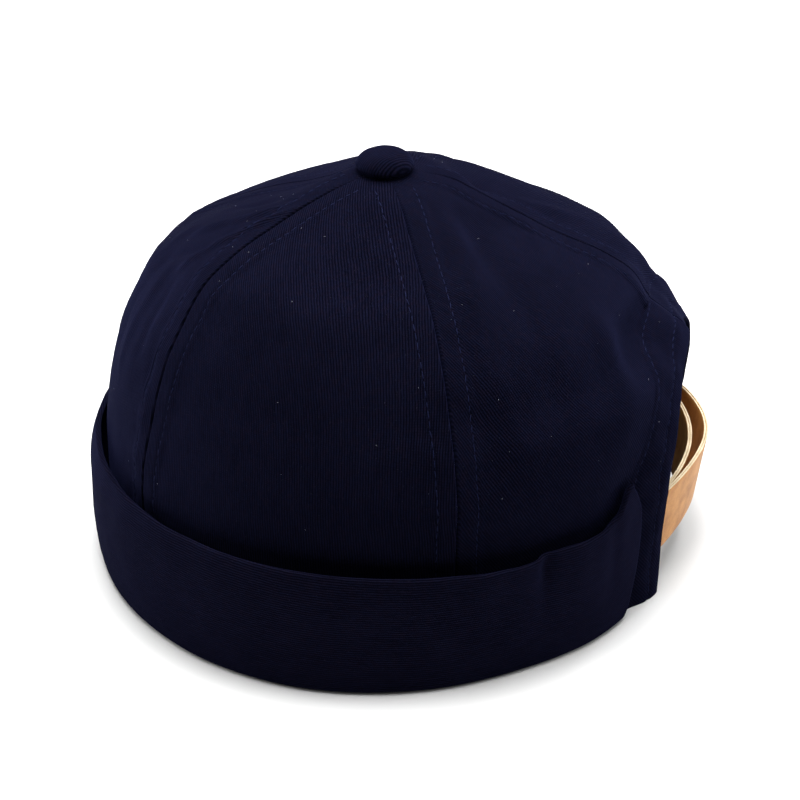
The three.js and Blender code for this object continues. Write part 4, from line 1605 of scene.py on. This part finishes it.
class Shader:
    """Short ways to write a material's nodes."""

    def __init__(self, tree: bpy.types.NodeTree) -> None:
        """Keeps the tree that the nodes go into."""
        self.tree = tree

    def node(self, kind: str, **settings: object) -> bpy.types.Node:
        """A new node with its settings.

        Args:
            kind: Type of the node.
            settings: Its properties by name.

        Returns:
            The node.
        """
        made = self.tree.nodes.new(kind)
        for name, value in settings.items():
            setattr(made, name, value)
        return made

    def put(self, socket: bpy.types.NodeSocket, value: object) -> None:
        """Sets a socket to a number or links it to another socket.

        Args:
            socket: Input to fill.
            value: Number, colour or socket.
        """
        if isinstance(value, bpy.types.NodeSocket):
            self.tree.links.new(value, socket)
        else:
            socket.default_value = value

    def math(self, operation: str, *values: object) -> bpy.types.NodeSocket:
        """Result of a math node.

        Args:
            operation: What the node works out.
            values: Numbers or sockets.

        Returns:
            The node's output.
        """
        made = self.node("ShaderNodeMath", operation=operation)
        for socket, value in zip(made.inputs, values):
            self.put(socket, value)
        return made.outputs[0]

    def noise(
        self, vector: object, scale: float, detail: float = 2.0, rough: float = 0.5
    ) -> bpy.types.NodeSocket:
        """Noise texture's value, from 0 to 1.

        Args:
            vector: Coordinates.
            scale: Features for each unit.
            detail: Finer layers.
            rough: Strength of the finer layers.

        Returns:
            The node's output.
        """
        made = self.node("ShaderNodeTexNoise")
        self.put(made.inputs["Vector"], vector)
        made.inputs["Scale"].default_value = scale
        made.inputs["Detail"].default_value = detail
        made.inputs["Roughness"].default_value = rough
        return made.outputs["Fac"]

    def mix(self, factor: object, first: object, second: object) -> bpy.types.NodeSocket:
        """Mix of two colours.

        Args:
            factor: Share of the second.
            first: First colour.
            second: Second colour.

        Returns:
            The node's output.
        """
        made = self.node("ShaderNodeMix", data_type="RGBA")
        self.put(made.inputs[0], factor)
        self.put(made.inputs[6], first)
        self.put(made.inputs[7], second)
        return made.outputs[2]

    def ramp(self, value: object, low: float, high: float) -> bpy.types.NodeSocket:
        """Value mapped to 0 at low and 1 at high, smoothly.

        Args:
            value: Value to map.
            low: Value that gives 0.
            high: Value that gives 1.

        Returns:
            The node's output.
        """
        made = self.node("ShaderNodeMapRange", interpolation_type="SMOOTHSTEP")
        self.put(made.inputs["Value"], value)
        made.inputs["From Min"].default_value = low
        made.inputs["From Max"].default_value = high
        return made.outputs["Result"]


def twill_group() -> bpy.types.NodeTree:
    """Shared weave: slanted ribs of yarn, with the yarn's own bumps and uneven dye.

    Returns:
        A node group with inputs Cloth (millimetres) and Pitch, and outputs Shade, Height, Fuzz and Hue.
    """
    tree = bpy.data.node_groups.new("twill_weave", "ShaderNodeTree")
    tree.interface.new_socket("Cloth", in_out="INPUT", socket_type="NodeSocketVector")
    tree.interface.new_socket("Pitch", in_out="INPUT", socket_type="NodeSocketFloat")
    for name in ("Shade", "Height", "Fuzz", "Hue"):
        tree.interface.new_socket(name, in_out="OUTPUT", socket_type="NodeSocketFloat")
    s = Shader(tree)
    given = s.node("NodeGroupInput")
    out = s.node("NodeGroupOutput")
    cloth, pitch = given.outputs["Cloth"], given.outputs["Pitch"]
    split = s.node("ShaderNodeSeparateXYZ")
    s.put(split.inputs[0], cloth)
    wander = s.math("MULTIPLY", s.math("SUBTRACT", s.noise(cloth, 0.22, 3), 0.5), 0.5)
    phase = s.math("DIVIDE", s.math("ADD", split.outputs[0], wander), pitch)
    ridge = s.ramp(s.math("MULTIPLY", s.math("PINGPONG", phase, 0.5), 2.0), 0.05, 0.85)
    number = s.math("FLOOR", phase)
    pick = s.math("DIVIDE", split.outputs[1], s.math("MULTIPLY", pitch, 0.72))
    beat = s.math("ADD", pick, s.math("MULTIPLY", number, 0.37))
    yarn = s.math("ADD", s.math("MULTIPLY", s.math("SINE", s.math("MULTIPLY", beat, math.tau)), 0.5), 0.5)
    track = s.node("ShaderNodeCombineXYZ")
    s.put(track.inputs[0], s.math("MULTIPLY", number, 1.7))
    s.put(track.inputs[1], s.math("MULTIPLY", split.outputs[1], 0.16))
    streak = s.noise(track.outputs[0], 1.0, 3, 0.6)
    fine = s.noise(cloth, 2.4, 2, 0.7)
    tuft = s.math("ADD", s.math("MULTIPLY", yarn, 0.35), s.math("MULTIPLY", streak, 1.1))
    crest = s.math("MULTIPLY", ridge, tuft)
    height = s.math("ADD", crest, s.math("MULTIPLY", fine, 0.5))
    blotch = s.noise(cloth, 0.045, 4, 0.6)
    heather = s.noise(cloth, 1.3, 4, 0.85)
    shade = s.math("ADD", s.math("MULTIPLY", crest, 0.62), s.math("MULTIPLY", heather, 0.80))
    shade = s.math("ADD", shade, s.math("MULTIPLY", blotch, 0.34))
    s.put(out.inputs["Shade"], s.ramp(shade, 0.50, 1.16))
    s.put(out.inputs["Height"], height)
    s.put(out.inputs["Fuzz"], s.ramp(s.noise(cloth, 4.5, 1), 0.74, 0.80))
    s.put(out.inputs["Hue"], s.ramp(s.noise(cloth, 0.5, 3, 0.7), 0.42, 0.62))
    return tree


@dataclass(frozen=True)
class TwillFinish:
    """Matt cotton twill.

    Args:
        name: Name of the material.
        dark: Colour between the ribs.
        light: Colour on the ribs.
        warm: Colour on the ribs where the dye has worn.
        pitch: Distance between ribs in millimetres.
        relief: Height of the weave in millimetres.
        sheen: Strength of the soft glow at grazing angles.
    """

    name: str
    dark: tuple[float, float, float]
    light: tuple[float, float, float]
    warm: tuple[float, float, float]
    pitch: float = 0.82
    relief: float = 0.14
    sheen: float = 0.06

    def make(self, weave: bpy.types.NodeTree) -> bpy.types.Material:
        """Builds the material round the shared weave.

        Args:
            weave: The shared weave's node group.

        Returns:
            The material.
        """
        material = bpy.data.materials.new(self.name)
        material.use_nodes = True
        s = Shader(material.node_tree)
        surface = material.node_tree.nodes["Principled BSDF"]
        cloth = s.node("ShaderNodeUVMap", uv_map="cloth").outputs[0]
        group = s.node("ShaderNodeGroup", node_tree=weave)
        s.put(group.inputs["Cloth"], cloth)
        group.inputs["Pitch"].default_value = self.pitch
        crest = s.mix(group.outputs["Hue"], (*self.light, 1), (*self.warm, 1))
        colour = s.mix(group.outputs["Shade"], (*self.dark, 1), crest)
        lint = s.math("MULTIPLY", group.outputs["Fuzz"], 0.10)
        s.put(surface.inputs["Base Color"], s.mix(lint, colour, (0.35, 0.38, 0.5, 1)))
        bump = s.node("ShaderNodeBump")
        bump.inputs["Strength"].default_value = 0.7
        bump.inputs["Distance"].default_value = self.relief * MM
        s.put(bump.inputs["Height"], group.outputs["Height"])
        s.put(surface.inputs["Normal"], bump.outputs[0])
        surface.inputs["Roughness"].default_value = 0.95
        surface.inputs["Specular IOR Level"].default_value = 0.004
        surface.inputs["Sheen Weight"].default_value = self.sheen
        surface.inputs["Sheen Roughness"].default_value = 0.55
        surface.inputs["Sheen Tint"].default_value = (0.12, 0.14, 0.44, 1)
        return material


@dataclass(frozen=True)
class LeatherFinish:
    """Smooth tan leather with grain, or its pale cut edge.

    Args:
        name: Name of the material.
        dark: Colour where the leather is darkest.
        light: Colour where it is lightest.
        grain: Depth of the grain in millimetres.
        shine: Strength of the polish.
    """

    name: str
    dark: tuple[float, float, float]
    light: tuple[float, float, float]
    grain: float = 0.05
    shine: float = 0.35

    def make(self) -> bpy.types.Material:
        """Builds the material.

        Returns:
            The material.
        """
        material = bpy.data.materials.new(self.name)
        material.use_nodes = True
        s = Shader(material.node_tree)
        surface = material.node_tree.nodes["Principled BSDF"]
        cloth = s.node("ShaderNodeUVMap", uv_map="cloth").outputs[0]
        broad = s.noise(cloth, 0.12, 4, 0.6)
        pores = s.node("ShaderNodeTexVoronoi")
        s.put(pores.inputs["Vector"], cloth)
        pores.inputs["Scale"].default_value = 1.7
        cell = pores.outputs["Distance"]
        fibre = s.noise(cloth, 3.0, 3, 0.6)
        tone = s.math("ADD", s.math("MULTIPLY", broad, 0.75), s.math("MULTIPLY", fibre, 0.35))
        s.put(surface.inputs["Base Color"], s.mix(s.ramp(tone, 0.3, 0.8), (*self.dark, 1), (*self.light, 1)))
        bump = s.node("ShaderNodeBump")
        bump.inputs["Strength"].default_value = 0.6
        bump.inputs["Distance"].default_value = self.grain * MM
        s.put(bump.inputs["Height"], s.math("ADD", cell, s.math("MULTIPLY", fibre, 0.5)))
        s.put(surface.inputs["Normal"], bump.outputs[0])
        s.put(surface.inputs["Roughness"], s.math("ADD", s.math("MULTIPLY", fibre, 0.25), 0.45))
        surface.inputs["Specular IOR Level"].default_value = self.shine
        return material


@dataclass(frozen=True)
class PlainFinish:
    """One even finish: brass with fine scratches, sewing thread, lint or the floor.

    Args:
        name: Name of the material.
        colour: Its colour.
        rough: Roughness.
        metal: 1 for a metal.
        specular: Strength of the shine.
        scratch: How much the scratches roughen it.
    """

    name: str
    colour: tuple[float, float, float]
    rough: float
    metal: float = 0.0
    specular: float = 0.3
    scratch: float = 0.0

    def make(self) -> bpy.types.Material:
        """Builds the material.

        Returns:
            The material.
        """
        material = bpy.data.materials.new(self.name)
        material.use_nodes = True
        s = Shader(material.node_tree)
        surface = material.node_tree.nodes["Principled BSDF"]
        place = s.node("ShaderNodeTexCoord").outputs["Object"]
        worn = s.noise(place, 900.0, 3, 0.6)
        tone = s.mix(worn, (*(c * 0.8 for c in self.colour), 1), (*self.colour, 1))
        s.put(surface.inputs["Base Color"], tone if self.scratch else (*self.colour, 1))
        s.put(surface.inputs["Roughness"], s.math("ADD", s.math("MULTIPLY", worn, self.scratch), self.rough))
        surface.inputs["Metallic"].default_value = self.metal
        surface.inputs["Specular IOR Level"].default_value = self.specular
        return material


@dataclass
class Lint:
    """Short pale fibres that cling to the cloth.

    Args:
        crown: The crown that they lie on.
        maker: Makes the mesh.
        count: Number of fibres.
        seed: Seed of their places.
    """

    crown: Crown
    maker: MeshMaker
    count: int = 80
    seed: int = 7

    def build(self, material: bpy.types.Material) -> None:
        """Scatters the fibres over the crown.

        Args:
            material: Material of the fibres.
        """
        random = np.random.default_rng(self.seed)
        bm = bmesh.new()
        turn = random.uniform(-160, 200, self.count)
        height = random.uniform(50, self.crown.height - 6, self.count)
        spots = self.maker.place.metres(self.crown.point(turn, height, -0.12))
        normals = self.crown.outward(turn, height)
        for spot, normal in zip(spots, normals):
            up = Vector(normal)
            along = up.orthogonal().normalized()
            along.rotate(Matrix.Rotation(random.uniform(0, math.tau), 3, up))
            basis = Matrix((along, up.cross(along), up)).transposed().to_4x4()
            size = Matrix.Diagonal((random.uniform(0.06, 0.30), 0.045, 0.04, 1.0))
            bmesh.ops.create_uvsphere(
                bm, u_segments=5, v_segments=4, radius=1.0,
                matrix=Matrix.Translation(spot) @ Matrix.Scale(MM, 4) @ basis @ size @ TURN_POLES,
            )
        piece = self.maker.link("lint", bm)
        piece.data.materials.append(material)
        declare(piece, "crown_twill")


@dataclass(frozen=True)
class Lamp:
    """One soft square light that looks at the cap.

    Args:
        name: Name of the light.
        place: Its place in metres.
        size: Length of its side in metres.
        power: Power in watts.
    """

    name: str
    place: tuple[float, float, float]
    size: float
    power: float

    def build(self) -> None:
        """Adds the light to the scene."""
        data = bpy.data.lights.new(self.name, "AREA")
        data.energy = self.power
        data.size = self.size
        lamp = bpy.data.objects.new(self.name, data)
        lamp.location = self.place
        lamp.rotation_mode = "QUATERNION"
        lamp.rotation_quaternion = (Vector((0, 0, 0.06)) - Vector(self.place)).to_track_quat("-Z", "Y")
        bpy.context.scene.collection.objects.link(lamp)


@dataclass(frozen=True)
class Studio:
    """Camera, floor and light of the photograph.

    Args:
        elevation: Height of the camera's line of sight, in degrees.
        distance: Distance of the camera from its target, in metres.
        aim: Place that the camera looks at, in metres from the crown's middle.
        lens: Focal length in millimetres.
        sensor: Width of the picture on the sensor, in millimetres.
        floor_half: Half the floor's side, in metres.
        floor_gap: Gap between the floor and the cap, in metres.
        sky: Strength of the even light from all sides.
        lamps: The soft lights.
    """

    elevation: float = 29.6
    distance: float = 0.85
    aim: tuple[float, float, float] = (0.0, 0.00484, 0.0505)
    lens: float = 114.75
    sensor: float = 36.0
    floor_half: float = 6.0
    floor_gap: float = 0.0001
    sky: float = 0.15
    lamps: tuple[Lamp, ...] = (
        Lamp("overhead", (-0.2, 0.0, 1.4), 1.2, 70.0),
        Lamp("front", (-0.1, -1.4, 0.8), 0.9, 9.5),
        Lamp("back", (0.1, 1.4, 0.9), 0.9, 8.0),
    )

    def camera(self, place: Place) -> None:
        """Sets the camera on the cap's left side.

        Args:
            place: Where the crown's middle is.
        """
        angle = math.radians(self.elevation)
        back = Vector((math.cos(angle), 0.0, math.sin(angle)))
        data = bpy.data.cameras.new("camera")
        data.lens = self.lens
        data.sensor_width = self.sensor
        data.clip_start, data.clip_end = 0.05, 50.0
        camera = bpy.data.objects.new("camera", data)
        camera.location = Vector((place.x, place.y, 0)) + Vector(self.aim) + back * self.distance
        camera.rotation_mode = "QUATERNION"
        camera.rotation_quaternion = (-back).to_track_quat("-Z", "Y")
        bpy.context.scene.collection.objects.link(camera)
        bpy.context.scene.camera = camera

    def floor(self, material: bpy.types.Material) -> None:
        """Lays a wide pale floor.

        Args:
            material: Material of the floor.
        """
        bm = bmesh.new()
        bmesh.ops.create_grid(bm, x_segments=2, y_segments=2, size=self.floor_half)
        floor = MeshMaker.link("floor", bm)
        floor.location.z = -self.floor_gap
        floor.data.materials.append(material)

    def build(self, place: Place, floor: bpy.types.Material) -> None:
        """Sets the whole studio up.

        Args:
            place: Where the crown's middle is.
            floor: Material of the floor.
        """
        self.camera(place)
        self.floor(floor)
        world = bpy.data.worlds.new("studio")
        world.use_nodes = True
        background = world.node_tree.nodes["Background"]
        background.inputs["Color"].default_value = (1.0, 1.0, 1.0, 1)
        background.inputs["Strength"].default_value = self.sky
        bpy.context.scene.world = world
        for lamp in self.lamps:
            lamp.build()
        bpy.context.scene.view_settings.view_transform = "Standard"


def main() -> None:
    """Builds the cap round its frame."""
    logging.basicConfig(level=logging.INFO, format="%(message)s")
    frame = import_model()
    low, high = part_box("top_button")
    place = Place((low[0] + high[0]) / 2, (low[1] + high[1]) / 2)
    maker = MeshMaker(place)
    weave = twill_group()
    twill = TwillFinish(
        "navy_twill",
        dark=(0.0004, 0.0005, 0.0014),
        light=(0.0031, 0.0035, 0.0104),
        warm=(0.0043, 0.0035, 0.0090),
    ).make(weave)
    # Painted light: the cuff's twill is a lighter copy of the crown's. Its rib and worn colours are raised to
    # stand in for the light that the low, upright cuff lacks.
    cuff_twill = TwillFinish(
        "cuff_twill",
        dark=(0.0005, 0.0005, 0.0014),
        light=(0.0041, 0.0044, 0.0122),
        warm=(0.0052, 0.0042, 0.0104),
    ).make(weave)
    thread = PlainFinish("navy_thread", (0.0065, 0.0082, 0.026), 0.7, specular=0.02).make()
    leather = LeatherFinish("tan_leather", (0.30, 0.115, 0.028), (0.60, 0.29, 0.085)).make()
    edge = LeatherFinish("cut_edge", (0.42, 0.33, 0.20), (0.72, 0.62, 0.44), shine=0.15).make()
    brass = PlainFinish("satin_brass", (0.66, 0.47, 0.22), 0.28, metal=1.0, specular=0.5, scratch=0.15).make()
    crown = Crown()
    LOG.info("crown: panels, facing and stitching")
    builder = CrownBuilder(crown, maker, twill, thread)
    builder.build_panels()
    builder.build_facing()
    builder.build_stitching()
    LOG.info("cuff, button, strap, tab and buckle")
    Cuff(crown, maker, cuff_twill).build()
    Button(crown, maker, twill).build()
    strap = Strap(crown, maker, leather, edge)
    strap.build()
    strap.finish_buckle(frame["nodes"]["buckle"], brass)
    LOG.info("lint and studio")
    Lint(crown, maker).build(PlainFinish("lint", (0.30, 0.31, 0.38), 0.9, specular=0.1).make())
    Studio().build(place, PlainFinish("floor", (0.60, 0.60, 0.60), 0.9, specular=0.1).make())


if __name__ == "__main__":
    main()
